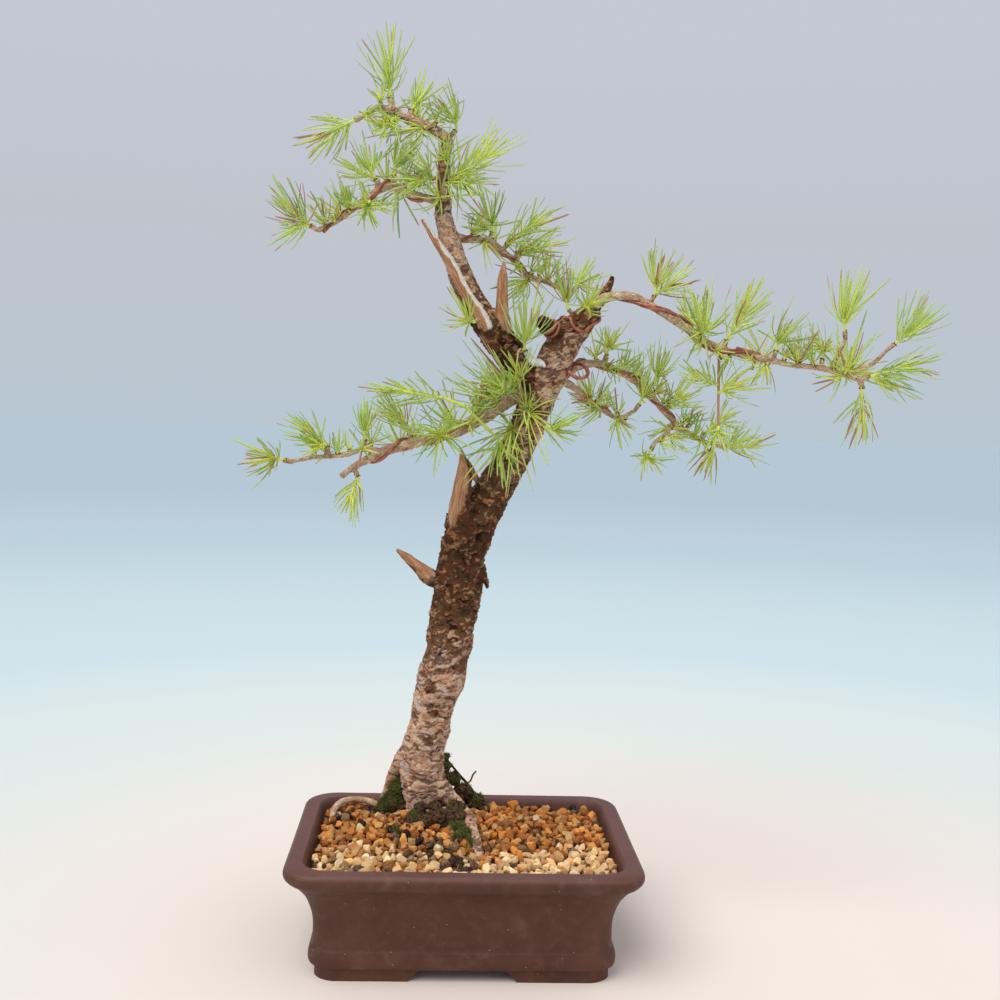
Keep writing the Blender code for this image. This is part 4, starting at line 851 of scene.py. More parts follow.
cad_routes = {}
for name, (_, points) in LIMBS.items():
    cad_routes[name] = smooth_route(points, CAD_SPACING.get(name, COMMON_SPACING))
spurs = {name: spur_for(place, shoots[0][1]) for name, (place, shoots) in SPRAYS.items()}
barrels = [(ringed_barrel(start, end), 10) for start, end, _ in spurs.values()]
branches = grow_wood("branch_wood", THIN_LIMBS, barrels, BRANCH_VOXEL, 1.5, 16, young_character,
                     larch_bark("young_bark", True))
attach(branches, "root")
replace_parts(branches, "tree")
wood_points = np.vstack([points_of(trunk), points_of(branches)])
wood_faces = [tuple(face.vertices) for face in trunk.data.polygons]
shift = len(trunk.data.vertices)
wood_faces += [tuple(index + shift for index in face.vertices) for face in branches.data.polygons]
wood = BVHTree.FromPolygons(wood_points.tolist(), wood_faces)


# The soil: hard baked-clay granules, orange ones behind and pale pumice along the front, sifted round
# the roots on a bed of finer grains. They lie loose, so each one rests on those below it.
SOIL_EDGE = 50.0
MOUND_HEIGHT = 6.0
MOUND_MIDDLE = (-16.0, 24.0)
MOUND_REACH = 27.0
BED_DROP = 3.0
BED_RINGS = 26
GRAINS = 2100
GRAIN_RADII = (1.45, 3.1)
GRAIN_SHAPES = 14
GRAIN_CREASE = math.radians(32)
CHIPS = 8
PLACES_TRIED = 9
BED_INSET = 10.9
BED_FLOOR = 13.0
BED_TONE = (96, 62, 38)
GRAIN_INSET = 11.6
NEIGHBOUR_REACH = 5.6
PACKING = 0.86
HIGHEST_PILE = 1.6
ROOT_CLEARANCE = 0.55
SOIL_SEED = 11
ORANGE = [(224, 148, 70), (204, 126, 54), (232, 164, 88), (186, 124, 66), (210, 158, 94), (172, 104, 48)]
PALE = [(248, 214, 152), (234, 190, 130), (252, 228, 180), (220, 174, 118), (240, 206, 154),
        (204, 160, 108)]
DULL = [(140, 104, 70), (122, 92, 62), (156, 126, 88), (92, 70, 50)]
DARK = [(62, 44, 32), (80, 58, 40), (48, 36, 28), (110, 86, 64)]
DARK_PLACES = [(-36, 1, 6, 6), (-9, -22, 9, 9), (-3, -40, 8, 7), (-48, 38, 10, 7), (54, 52, 12, 5),
               (-60, 22, 7, 7)]
draw = random.Random(SOIL_SEED)


def soil_height(x, y):
    """The level of the soil, which is heaped round the foot of the trunk."""
    away = (x - MOUND_MIDDLE[0]) ** 2 + (y - MOUND_MIDDLE[1]) ** 2
    return SOIL_EDGE + 0.6 + MOUND_HEIGHT * math.exp(-away / (2 * MOUND_REACH ** 2))


def inside_pot(x, y, inset):
    """Whether a place is within the pot's plan, moved in by `inset`."""
    radius = CORNER_RADIUS - CORNER_LOSS * inset
    over_x = abs(x) - (POT_LENGTH / 2 - inset - radius)
    over_y = abs(y) - (POT_WIDTH / 2 - inset - radius)
    return math.hypot(max(over_x, 0), max(over_y, 0)) + min(max(over_x, over_y), 0) < radius


def round_ball(subdivisions):
    """Points and faces of a ball with a radius of 1."""
    ball = bmesh.new()
    bmesh.ops.create_icosphere(ball, subdivisions=subdivisions, radius=1.0)
    points = np.array([vertex.co for vertex in ball.verts])
    faces = [tuple(vertex.index for vertex in face.verts) for face in ball.faces]
    ball.free()
    return points, faces


def chipped_grain(seed):
    """A blocky lump with worn corners and a few chipped flats, about 1 mm in radius."""
    cuts = random.Random(seed)
    points, faces = round_ball(2)
    corners = [Vector(point) for point in points]
    power = cuts.uniform(2.6, 7.0)
    for corner in corners:
        corner *= 0.94 / sum(abs(part) ** power for part in corner) ** (1 / power)
    for _ in range(CHIPS):
        flat = Vector([cuts.gauss(0, 1) for _ in range(3)]).normalized()
        level = cuts.uniform(0.52, 0.8)
        for corner in corners:
            over = corner.dot(flat) - level
            if over > 0:
                corner -= flat * over
    seat = Vector((seed * 3.1, 0, 0))
    lumps = [corner * (1 + 0.2 * noise.noise(corner * 1.6 + seat)) for corner in corners]
    return np.array(lumps), faces


def grain_colour(x, y):
    """Pale pumice in a wavy band along the front, orange behind it, dull and dark grains here and there."""
    edge = -20 + 9 * noise.noise(Vector((x / 26, y / 60, 0.5)))
    edge += 6 if x > 20 else 0
    pale = 1 - smooth_step(y + draw.uniform(-9, 9), edge - 6, edge + 6)
    dark = max(math.exp(-((x - left) / wide) ** 2 - ((y - near) / deep) ** 2)
               for left, near, wide, deep in DARK_PLACES)
    if draw.random() < dark * 0.85:
        base = tone(*draw.choice(DARK))
    elif draw.random() < 0.1:
        base = tone(*draw.choice(DULL))
    else:
        base = tone(*draw.choice(PALE if draw.random() < 0.05 + 0.84 * pale else ORANGE))
    shade = draw.uniform(0.66, 1.15) * (1 + 0.07 * pale) * (0.92 if x < -35 else 1)
    return [part * shade for part in base[:3]] + [1.0]


def turned(points, generator):
    """Points turned a random way in space."""
    axis = Vector([generator.gauss(0, 1) for _ in range(3)]).normalized()
    spin = Matrix.Rotation(generator.uniform(0, math.tau), 3, axis)
    return points @ np.array(spin)


def granules():
    soil = Finish("bonsai_soil", Roughness=0.9, Specular_IOR_Level=0.3)
    shade = soil.measure("grain", "Color")
    patches = soil.lumps(2.2, 4)
    pits = soil.lumps(0.45, 3)
    colour = soil.mix(soil.fade(patches, 0.35, 0.7) * 0.4, shade, tone(236, 190, 136), "MULTIPLY")
    colour = soil.mix(soil.fade(pits, 0.5, 0.72) * 0.35, colour, tone(96, 62, 38))
    colour = soil.mix(soil.fade(soil.lumps(1.1, 3), 0.56, 0.7) * 0.3, colour, tone(236, 212, 176))
    return soil.show(colour, 0.8 + pits * 0.2, pits * 0.5 + patches * 0.5, 0.22, 0.7)


bed = Bundle()
bed_colours = []
rings = [plan_ring(inset + 0.4, height) for inset, height in smooth_route(POT_INSIDE[2:], 4)][::-1]
rings = [[(x, y, max(z, BED_FLOOR)) for x, y, z in ring] for ring in rings]
edge_ring = plan_ring(BED_INSET, SOIL_EDGE - BED_DROP)
rings = [ring for ring in rings if ring[0][2] < SOIL_EDGE - BED_DROP] + [edge_ring]
for share in np.linspace(1, 0, BED_RINGS)[1:]:
    share = max(share, 0.01)
    ring = []
    for x, y, _ in edge_ring:
        x, y = x * share, y * share
        rough = 0.5 * noise.noise(Vector((x, y, 0)) / 2.4)
        ring.append((x, y, soil_height(x, y) - BED_DROP + rough))
    rings.append(ring)
bed.add([point for ring in rings for point in ring], skin(len(rings), len(rings[0])))
bed_colours += [tone(*BED_TONE)] * len(bed.points)
shapes = [chipped_grain(seed) for seed in range(GRAIN_SHAPES)]
lain = np.zeros((0, 4))
for _ in range(GRAINS):
    radius = draw.triangular(*GRAIN_RADII, 2.0)
    best = None
    for _ in range(PLACES_TRIED):
        x = draw.uniform(-75, 75)
        y = draw.uniform(-55, 55)
        if not inside_pot(x, y, GRAIN_INSET + radius * 0.8):
            continue
        level = soil_height(x, y) - BED_DROP + radius * 0.4
        near = lain[(np.abs(lain[:, :2] - (x, y)) < NEIGHBOUR_REACH).all(axis=1)]
        if len(near):
            apart = np.hypot(near[:, 0] - x, near[:, 1] - y)
            reach = (near[:, 3] + radius) * PACKING
            rise = near[:, 2] + np.sqrt(np.maximum(reach ** 2 - apart ** 2, 0)) * (apart < reach)
            level = max(level, (rise * (apart < reach)).max())
        over = level - soil_height(x, y)
        if best is None or over < best[0]:
            best = (over, x, y, level)
    if best is None or best[0] > HIGHEST_PILE:
        continue
    _, x, y, level = best
    place, normal, _, distance = wood.find_nearest((x, y, level))
    beside = (Vector((x, y, level)) - place).dot(normal)
    if beside < 0 or distance < radius * ROOT_CLEARANCE:
        continue
    lain = np.vstack([lain, (x, y, level, radius)])
    lump, faces = draw.choice(shapes)
    stretch = (draw.uniform(0.95, 1.45), draw.uniform(0.9, 1.2), draw.uniform(0.72, 1.05))
    bed.add(turned(lump * stretch, draw) * radius + (x, y, level), faces)
    bed_colours += [grain_colour(x, y)] * len(lump)
soil = make_piece("soil_granules", bed.points, bed.faces, granules())
soil.data.set_sharp_from_angle(angle=GRAIN_CREASE)
keep_values(soil, "grain", bed_colours, "FLOAT_COLOR", "color")
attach(soil, "root")
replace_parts(soil, "soil")


# The training wires: soft annealed copper, browned by the air, wound by hand round each branch and
# pressed against its bark, with ends cut by pliers. The heavy pair is anchored round the stub and trunk.
# For each wire: its radius, its branch, the start and end of its coil along the branch, the pitch of the
# coil, and where a turn crosses the front
WIRES = {
    "wire_right_outer": (0.85, "right", 19.0, 104.0, 45.0, 44.0),
    "wire_right_inner": (0.85, "right", 20.0, 100.0, 45.0, 47.4),
    "wire_lower_right": (0.80, "lower_right", 18.0, 106.0, 32.0, 86.0),
    "wire_lower_right_fork": (0.65, "lower_right_fork", 16.0, 50.0, 24.0, 30.0),
    "wire_middle": (0.75, "middle", 7.0, 60.0, 30.0, 9.0),
    "wire_lower_left": (0.85, "lower_left", 34.0, 90.0, 30.0, 48.0),
    "wire_upper_left": (0.80, "upper_left", 10.0, 68.0, 28.0, 62.0),
}
# For each loose end: its radius, whether it is pressed on the wood, and its route
WIRE_LOOPS = {
    "wire_anchor_front": (0.85, True, [
        (39, 30, 318), (45.7, 15, 319), (46.8, 14, 315.5), (49, 14, 311.6), (52.6, 14, 309.7),
        (56.7, 15, 309.8), (59.4, 17, 312.6), (62, 24, 317), (62, 31, 322), (62, 33, 327)]),
    "wire_branch_start": (0.95, False, [
        (45, 31, 291), (47.2, 20, 289.8), (50.5, 18.5, 287), (55, 20, 286.6), (58, 24, 289.4),
        (56, 27, 293.2), (51, 30, 294.5)]),
    "wire_tail": (0.85, False, [
        (132, 12, 304), (136.4, 8, 302.4), (140.4, 8, 298.3), (139.8, 10, 293.4)]),
}
WIRE_SIDES = 10
WIRE_CREASE = math.radians(50)
POINTS_PER_TURN = 22
LAYING_ROUNDS = 24


def coil_points(limb, wire_radius, start, end, pitch, crossing):
    """A helix round one stretch of a limb, crossing the front of it at the given place."""
    fine = smooth_route(cad_routes[limb], 1.0)
    lengths = lengths_along(fine)
    tangents, _, _ = frames_along(fine[:, :3])
    steps = round(abs(end - start) / pitch * POINTS_PER_TURN)
    points = []
    for along in np.linspace(start, end, steps + 1):
        index = int(np.searchsorted(lengths, along).clip(0, len(fine) - 1))
        front = unit(np.array([0, -1, 0]) + tangents[index] * tangents[index][1])
        rise = np.cross(front, tangents[index])
        turn = math.tau * (along - crossing) / pitch
        reach = fine[index, 3] + wire_radius
        points.append(fine[index, :3] + (front * math.cos(turn) + rise * math.sin(turn)) * reach)
    return points


def lay_on_wood(points, wire_radius):
    """Draw a wire onto the bark that it is wound round, without letting it sink in."""
    points = np.array(points)
    for _ in range(LAYING_ROUNDS):
        for index, point in enumerate(points):
            place, normal, _, distance = wood.find_nearest(point.tolist())
            away = Vector(point) - place
            side = 1 if away.dot(normal) > 0 else -1
            move = wire_radius * 0.9 - side * distance
            move = min(max(move, -0.25), 1.0)
            points[index] += np.array(away.normalized()) * side * move
        middle = (points[:-2] + points[2:]) / 2
        points[1:-1] += (middle - points[1:-1]) * 0.3
    return points


def aged_copper():
    copper = Finish("copper_wire", Metallic=0.35, Roughness=0.35)
    stain = copper.lumps(3.5, 3)
    colour = copper.mix(copper.fade(stain, 0.35, 0.7), tone(188, 112, 88), tone(136, 76, 60))
    colour = copper.mix(copper.fade(copper.lumps(1.0, 2), 0.6, 0.75) * 0.5, colour, tone(222, 156, 128))
    return copper.show(colour, 0.28 + stain * 0.3, copper.lumps(0.8, 2), 0.05, 0.5)


def drawn_wire(name, points, radius):
    """One round wire along its points."""
    body, faces = tube(np.column_stack([points, np.full(len(points), radius)]), WIRE_SIDES)
    wire = make_piece(name, body, faces, copper)
    wire.data.set_sharp_from_angle(angle=WIRE_CREASE)
    return wire


copper = aged_copper()
for name, (radius, limb, start, end, pitch, crossing) in WIRES.items():
    laid = lay_on_wood(coil_points(limb, radius, start, end, pitch, crossing), radius)
    wire = drawn_wire("wound_" + name, laid, radius)
    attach(wire, "root")
    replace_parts(wire, name)
stub_turns = coil_points("wired_stub", 0.85, 13.0, 6.5, 3.0, 2.0)
for name, (radius, laid_down, route) in WIRE_LOOPS.items():
    points = smooth_route([(*point, radius) for point in route], 0.8)[:, :3]
    if name == "wire_anchor_front":
        points = np.vstack([stub_turns, points])
    if laid_down:
        points = lay_on_wood(points, radius)
    wire = drawn_wire(name, points, radius)
    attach(wire, "root")


# The wound paste: a smear of white sealing paste, dried over the cut in the fork, where a limb came off.
PASTE = [(23.5, 17, 297.9, 0.7), (27, 16, 298.0, 1.8), (30, 15.5, 296.6, 2.3), (32.6, 15.5, 294, 2.0),
         (34.8, 16, 291.6, 0.7)]
smear = lay_on_wood(smooth_route(PASTE, 0.6)[:, :3], 0.9)
radii = smooth_route(PASTE, 0.6)[:, 3]
body, faces = tube(np.column_stack([smear, radii]), 12, 0.2)
paste_finish = Finish("dried_paste", Roughness=0.8)
chalky = paste_finish.fade(paste_finish.lumps(1.5, 3), 0.35, 0.65)
paste = make_piece("wound_paste", body, faces,
                   paste_finish.show(paste_finish.mix(chalky, tone(214, 206, 196), tone(244, 240, 234))))
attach(paste, "root")


# The peat and moss: dark crumbly peat of the old root ball, pressed round the foot of the trunk by hand,
# with green moss grown over its damp places.
# For each lump of peat: its place, its radius and how much moss grows on it, from 0 to 1
PEAT = [
    (-31, 33, 71, 4.6, 0.9), (-34, 32, 66, 5.4, 0.9), (-36, 32, 60, 6.6, 0.8), (-30, 31, 59, 6.5, 0.4),
    (-41, 32, 56, 5.0, 0.8), (-27, 38, 60, 7.0, 0.3), (-10.6, 28, 86, 2.4, 1), (-9.4, 28, 80, 2.8, 0.9),
    (-6, 31, 73, 4.6, 0.7), (0, 33, 66, 5.0, 0.3), (6, 35, 60, 5.0, 0.5), (11, 36, 56, 4.2, 0.1),
    (-25, 13, 56.5, 5.4, 0.3), (-18, 10, 57, 5.8, 0.2), (-11, 9, 58.5, 6.0, 0.1), (-4, 9, 60, 6.0, 0.4),
    (-3, 16, 62, 4.6, 0.4), (-22, 17, 62, 3.6, 0.2), (-15, 15, 63, 3.2, 0), (-3, 0, 55.5, 5.2, 0.9),
    (0, -7, 54, 4.8, 1), (1, -14, 52.5, 3.8, 0.6),
    (-8, -22, 50.5, 4.4, 0), (-4, -32, 50, 4.2, 0), (0, -42, 49.5, 3.8, 0), (-34, 2, 52.5, 3.8, 0.3),
]
PEAT_VOXEL = 0.7
MOSS_BLADES = 4400
POINTS_A_BLADE = 9
PEAT_SEED = 31
draw = random.Random(PEAT_SEED)


def peat_and_moss():
    peat = Finish("peat_and_moss", Roughness=0.95, Specular_IOR_Level=0.2)
    green = peat.fade(peat.measure("moss"), 0.35, 0.6)
    earth = peat.mix(peat.fade(peat.lumps(1.6, 4), 0.4, 0.62), tone(44, 33, 26), tone(96, 68, 48))
    earth = peat.mix(peat.fade(peat.lumps(0.9, 3), 0.62, 0.7) * 0.5, earth, tone(164, 126, 94))
    growth = peat.mix(peat.fade(peat.lumps(3, 4), 0.36, 0.64), tone(66, 68, 32), tone(40, 42, 24))
    growth = peat.mix(peat.fade(peat.lumps(1.2, 3), 0.5, 0.7) * 0.6, growth, tone(110, 110, 52))
    return peat.show(peat.mix(green, earth, growth), None, peat.lumps(0.7, 4), 0.4, 0.9)


ball_points, ball_faces = round_ball(3)
lumps = Bundle()
for x, y, z, radius, _ in PEAT:
    lumps.add(ball_points * (radius, radius, radius * 0.8) + (x, y, z), ball_faces)
peat = make_piece("peat_lumps", lumps.points, lumps.faces, peat_and_moss())
points, normals = skin_over(peat, PEAT_VOXEL)
heights = [1.5 * noise.noise(Vector(point) / 5) + 1.0 * noise.noise(Vector(point) / 1.7)
           for point in points]
points += normals * np.array(heights)[:, None]
lump_places = np.array([lump[:3] for lump in PEAT])
nearest = np.linalg.norm(points[:, None] - lump_places[None], axis=2).argmin(axis=1)
moss = [PEAT[owner][4] + 0.9 * noise.noise(Vector(point) / 4.5) - 0.25
        for owner, point in zip(nearest, points)]
move_points(peat, points)
keep_values(peat, "moss", moss)
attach(peat, "root")
blades = Bundle()
while len(blades.points) < MOSS_BLADES * POINTS_A_BLADE:
    index = draw.randrange(len(points))
    if moss[index] < draw.uniform(0.2, 0.6) or normals[index][2] < -0.3:
        continue
    lean = unit(normals[index] + (draw.gauss(0, 0.5), draw.gauss(0, 0.5), 0.6))
    length = draw.uniform(0.8, 2.2)
    root = points[index] - normals[index] * 0.3
    tip = root + lean * length + (0, 0, 0.2)
    row = [(*root, 0.24), (*(root + lean * length * 0.5), 0.2), (*tip, 0.03)]
    blades.add(*tube(np.array(row), 3))
moss_finish = Finish("moss_blades", Roughness=0.7, Specular_IOR_Level=0.3)
tips = moss_finish.fade(moss_finish.lumps(1.0, 2), 0.4, 0.65)
shaded = moss_finish.fade(moss_finish.lumps(5, 3), 0.4, 0.62)
green = moss_finish.mix(shaded, tone(92, 98, 42), tone(58, 64, 30))
moss_carpet = make_piece("moss_carpet", blades.points, blades.faces,
                         moss_finish.show(moss_finish.mix(tips * 0.5, green, tone(132, 136, 66))))
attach(moss_carpet, "root")


# The litter: dropped dry needles, crumbs of bark and fine black roots, fallen from the tree and lying
# loose on the granules.
FINE_ROOTS = [
    (0.6, 0.1, [(-9, 29, 84), (-3, 32, 76), (1, 37, 70), (6, 42, 63), (12, 45, 57)]),
    (0.5, 0.2, [(-2, 36, 74), (4, 38, 67), (9, 41, 59), (15, 43, 54)]),
    (0.5, 0.3, [(1.1, 38, 68.3), (3.8, 38, 70), (5.3, 39, 73.3), (6.9, 39, 75.2)]),
    (1.0, 0.9, [(-38, 21, 56), (-30, 22, 58), (-22, 17, 60.5), (-14, 15, 61), (-9, 16, 62)]),
]
DRY_NEEDLES = 70
POINTS_A_NEEDLE = 30
CRUMBS = 46
CRUMB_PLACES = [(-8, -32, 9, 12), (-36, 1, 7, 7), (54, 54, 14, 4), (0, 0, 60, 42)]
ground = BVHTree.FromPolygons(points_of(soil).tolist(), [tuple(face.vertices) for face in soil.data.polygons])
LITTER_SEED = 37
draw = random.Random(LITTER_SEED)


def on_ground(x, y, above):
    """The place that lies a little above the granules at this point."""
    hit = ground.ray_cast((x, y, 90), (0, 0, -1))[0]
    return np.array((x, y, (hit.z if hit else SOIL_EDGE) + above))


litter = Bundle()
litter_shades = []
for radius, shade, route in FINE_ROOTS:
    points, faces = tube(smooth_route([(*point, radius) for point in route], 1.2), 8, 0.15)
    litter.add(points, faces)
    litter_shades += [shade] * len(points)
while len(litter_shades) < DRY_NEEDLES * POINTS_A_NEEDLE:
    left, near, wide, deep = draw.choice(CRUMB_PLACES)
    x, y, turn = draw.gauss(left, wide), draw.gauss(near, deep), draw.uniform(0, math.tau)
    if not inside_pot(x, y, 16):
        continue
    reach = draw.uniform(3, 6.5)
    ends = [on_ground(x + side * reach * math.cos(turn), y + side * reach * math.sin(turn), 0.5)
            for side in (-1, 0.2, 1)]
    if not inside_pot(*ends[0][:2], 12) or not inside_pot(*ends[2][:2], 12):
        continue
    points, faces = tube(smooth_route([(*end, 0.36) for end in ends], 1.6), 5, 0.1)
    litter.add(points, faces)
    litter_shades += [draw.choice([0.25, 0.45, 0.6, 0.75])] * len(points)
for _ in range(CRUMBS):
    left, near, wide, deep = draw.choice(CRUMB_PLACES[:3])
    x, y = draw.gauss(left, wide), draw.gauss(near, deep)
    if inside_pot(x, y, 13):
        lump, faces = draw.choice(shapes)
        size = np.array((draw.uniform(0.9, 2.2), draw.uniform(0.7, 1.4), 0.45))
        litter.add(turned(lump * size, draw) + on_ground(x, y, 0.6), faces)
        litter_shades += [draw.choice([0.0, 0.1, 0.35])] * len(lump)
dry = Finish("dry_litter", Roughness=0.85, Specular_IOR_Level=0.3)
shade = dry.measure("shade")
brown = dry.mix(dry.fade(shade, 0.0, 0.5), tone(40, 30, 26), tone(130, 88, 56))
brown = dry.mix(dry.fade(shade, 0.5, 1.0), brown, tone(204, 164, 124))
brown = dry.mix(dry.fade(dry.lumps(1.2, 3), 0.5, 0.7) * 0.4, brown, tone(120, 96, 80), "MULTIPLY")
litter_piece = make_piece("dry_litter", litter.points, litter.faces, dry.show(brown))
keep_values(litter_piece, "shade", litter_shades)
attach(litter_piece, "root")


# The sprays: this spring's soft green shoots on the spurs. Flat, slightly curved needles stand in
# rosettes round each bud, or spiral up the longer shoots; a few are dried to brown at their tips.
STEM_RADII = (0.95, 0.6)
STEM_GAP = 0.35
FULLNESS = 2.25
NEEDLE_STRETCH = 1.12
NEEDLE_RADIUS = 0.5
TRIMMED = {"spray_lower_left_tip": 0.8, "spray_upper_left_tip": 0.84}
# How wide a needle is, as a share of its widest, from its foot at 0 to its tip at 1
NEEDLE_WIDTHS = [
    (0.0, 0.55), (0.12, 0.85), (0.3, 1.0), (0.5, 1.0), (0.7, 0.96), (0.88, 0.84), (0.97, 0.55)]
LONG_SHOOT = 6.5
GOLDEN_ANGLE = math.radians(137.5)
DRY_TUFTS = ["spray_lower_left_tip", "spray_upper_left_tip", "spray_right_e", "spray_knob_top",
             "spray_right_a", "spray_right_end_front"]
NEEDLE_SEED = 23
draw = random.Random(NEEDLE_SEED)


def stem_routes(name):
    """The middle lines of one spray's stems; the first leaves the spur's flat end straight."""
    _, end, out = spurs[name]
    foot = end + out * STEM_GAP
    routes = []
    for number, (start, stem, _, _, _) in enumerate(SPRAYS[name][1]):
        root = foot + out * 1.2 + np.array(start, float)
        points = [root, root + np.array(stem, float)]
        if number == 0:
            points.insert(0, foot - out)
        radii = np.linspace(STEM_RADII[0], STEM_RADII[1], len(points))
        routes.append(np.column_stack([points, radii]))
    return routes


def needle(root, direction, bend, length, radius):
    """A flat needle that starts in one direction, bends, and ends in a blunt point."""
    across = unit(np.cross(direction, bend + (0.01, 0.02, 0.03)))
    length /= 1 + 0.5 * np.linalg.norm(bend)
    points = []
    for share, width in NEEDLE_WIDTHS:
        middle = root + direction * length * share + bend * length * share ** 2
        upright = unit(np.cross(across, direction + 2 * bend * share))
        points.append(middle + across * width * radius)
        points.append(middle + upright * width * radius * 0.6)
        points.append(middle - across * width * radius)
        points.append(middle - upright * width * radius * 0.5)
    points.append(root + direction * length + bend * length)
    rings = len(NEEDLE_WIDTHS)
    faces = skin(rings, 4)[:-1]
    last = (rings - 1) * 4
    for index in range(4):
        faces.append((last + index, last + (index + 1) % 4, last + 4))
    return points, faces


def in_wood(point, margin):
    """Whether a point lies in the wood, or closer to it than the margin."""
    place, normal, _, distance = wood.find_nearest(point)
    return distance < margin or (Vector(point) - place).dot(normal) < 0


class Spray:
    """The mesh of one spray, with the age, share of length and dryness of every point."""

    def __init__(self, dry):
        self.bundle = Bundle()
        self.notes = []
        self.dry = dry

    def stem(self, route, age, dryness):
        fine = smooth_route(route, 1.6)
        points, faces = tube(fine, 8, 0.05)
        self.bundle.add(points, faces)
        self.notes += [(age, 0.0, dryness, 1.0)] * len(points)

    def tuft(self, start, end, count, length, opening):
        """Needles round a stem: a rosette on a short one, a comb all along a longer one."""
        stem = unit(unit(end - start) + np.array([draw.uniform(-0.16, 0.16) for _ in range(3)]))
        long_shoot = np.linalg.norm(end - start) > LONG_SHOOT
        side = unit(np.cross(stem, (0.31, 0.83, 0.47)))
        spin = draw.uniform(0, math.tau)
        mood = draw.uniform(-0.25, 0.2)
        sweep = unit([draw.gauss(0, 1) for _ in range(3)] + stem * 0.8) * draw.uniform(0.25, 0.65)
        many = round(count * FULLNESS)
        for index in range(many):
            share = (index + 0.5) / many
            turn = spin + index * GOLDEN_ANGLE + draw.uniform(-0.5, 0.5)
            if long_shoot:
                opened = (1.15 - 0.8 * share ** 2.4) * draw.uniform(0.6, 1.25)
                reach = length * draw.uniform(0.6, 1.08) * (1 - 0.28 * share ** 4)
                along = 0.04 + 0.96 * share
            else:
                opened = 1.12 * (1 - share) ** 0.6 * draw.uniform(0.7, 1.25) + 0.06
                reach = length * draw.uniform(0.62, 1.08)
                along = draw.uniform(0.45, 1.0)
            angle = math.radians(opening) * opened
            for _ in range(6):
                outwards = side * math.cos(turn) + np.cross(stem, side) * math.sin(turn)
                direction = stem * math.cos(angle) + outwards * math.sin(angle)
                root = start + (end - start) * along + outwards * 0.2
                if not in_wood((root + direction * reach * 0.6).tolist(), 0.6):
                    break
                turn += 0.7
            else:
                continue
            reach *= NEEDLE_STRETCH
            bend = stem * draw.uniform(-0.1, 1.1) + sweep + np.array((0, 0, 1)) * draw.uniform(-0.2, 0.4)
            bend += np.cross(direction, outwards + stem) * draw.uniform(-0.5, 0.5)
            bend += np.array([draw.gauss(0, 0.14) for _ in range(3)])
            points, faces = needle(root, direction, bend, reach, NEEDLE_RADIUS * draw.uniform(0.85, 1.08))
            self.bundle.add(points, faces)
            age = min(max(draw.gauss(0.6 - 0.42 * share + mood, 0.17), 0), 1)
            dryness = 1.0 if draw.random() < self.dry else 0.5 if draw.random() < 0.16 else 0.0
            shares = [share for share, _ in NEEDLE_WIDTHS for _ in range(4)] + [1.0]
            self.notes += [(age, part, dryness, 1.0) for part in shares]

    def finish(self, name):
        piece = make_piece(name, self.bundle.points, self.bundle.faces, leaf)
        keep_values(piece, "needle", self.notes, "FLOAT_COLOR", "color")
        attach(piece, "root")
        return piece


def needle_green():
    leaf = Finish("larch_needles", Roughness=0.5, Specular_IOR_Level=0.4)
    parts = leaf.node("ShaderNodeSeparateColor", None, {0: leaf.measure("needle", "Color")}, "Red")
    along = Link(leaf, parts.socket.node.outputs["Green"])
    dryness = Link(leaf, parts.socket.node.outputs["Blue"])
    colour = leaf.mix(leaf.fade(parts, 0.0, 0.5), tone(240, 242, 112), tone(206, 224, 104))
    colour = leaf.mix(leaf.fade(parts, 0.45, 1.0), colour, tone(136, 168, 98))
    colour = leaf.mix((1 - leaf.fade(along, 0.0, 0.45)) * 0.5, colour, tone(230, 234, 100))
    colour = leaf.mix(leaf.fade(leaf.lumps(4, 2), 0.4, 0.7) * 0.2, colour, tone(150, 178, 66))
    colour = leaf.mix(leaf.fade(along, 0.35, 0.9) * 0.4, colour, tone(150, 184, 126))
    brown_tip = leaf.fade(along, 0.72, 0.95) * leaf.fade(dryness, 0.2, 0.4)
    colour = leaf.mix(brown_tip * 0.85, colour, tone(196, 132, 98))
    colour = leaf.mix(leaf.fade(dryness, 0.7, 0.9), colour, tone(190, 136, 104))
    return leaf.show(colour, 0.42 + leaf.lumps(2, 2) * 0.2)


leaf = needle_green()
for name, (_, shoots) in SPRAYS.items():
    spray = Spray(0.16 if name in DRY_TUFTS else 0.03)
    for route, (_, _, count, length, opening) in zip(stem_routes(name), shoots):
        woody = name == "spray_hanging_twig" and count == 0
        spray.stem(route, 0.3, 1.0 if woody else 0.0)
        if count:
            spray.tuft(route[-2, :3], route[-1, :3], count, length * TRIMMED.get(name, 1), opening)
    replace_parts(spray.finish(name.replace("spray", "needles")), name)


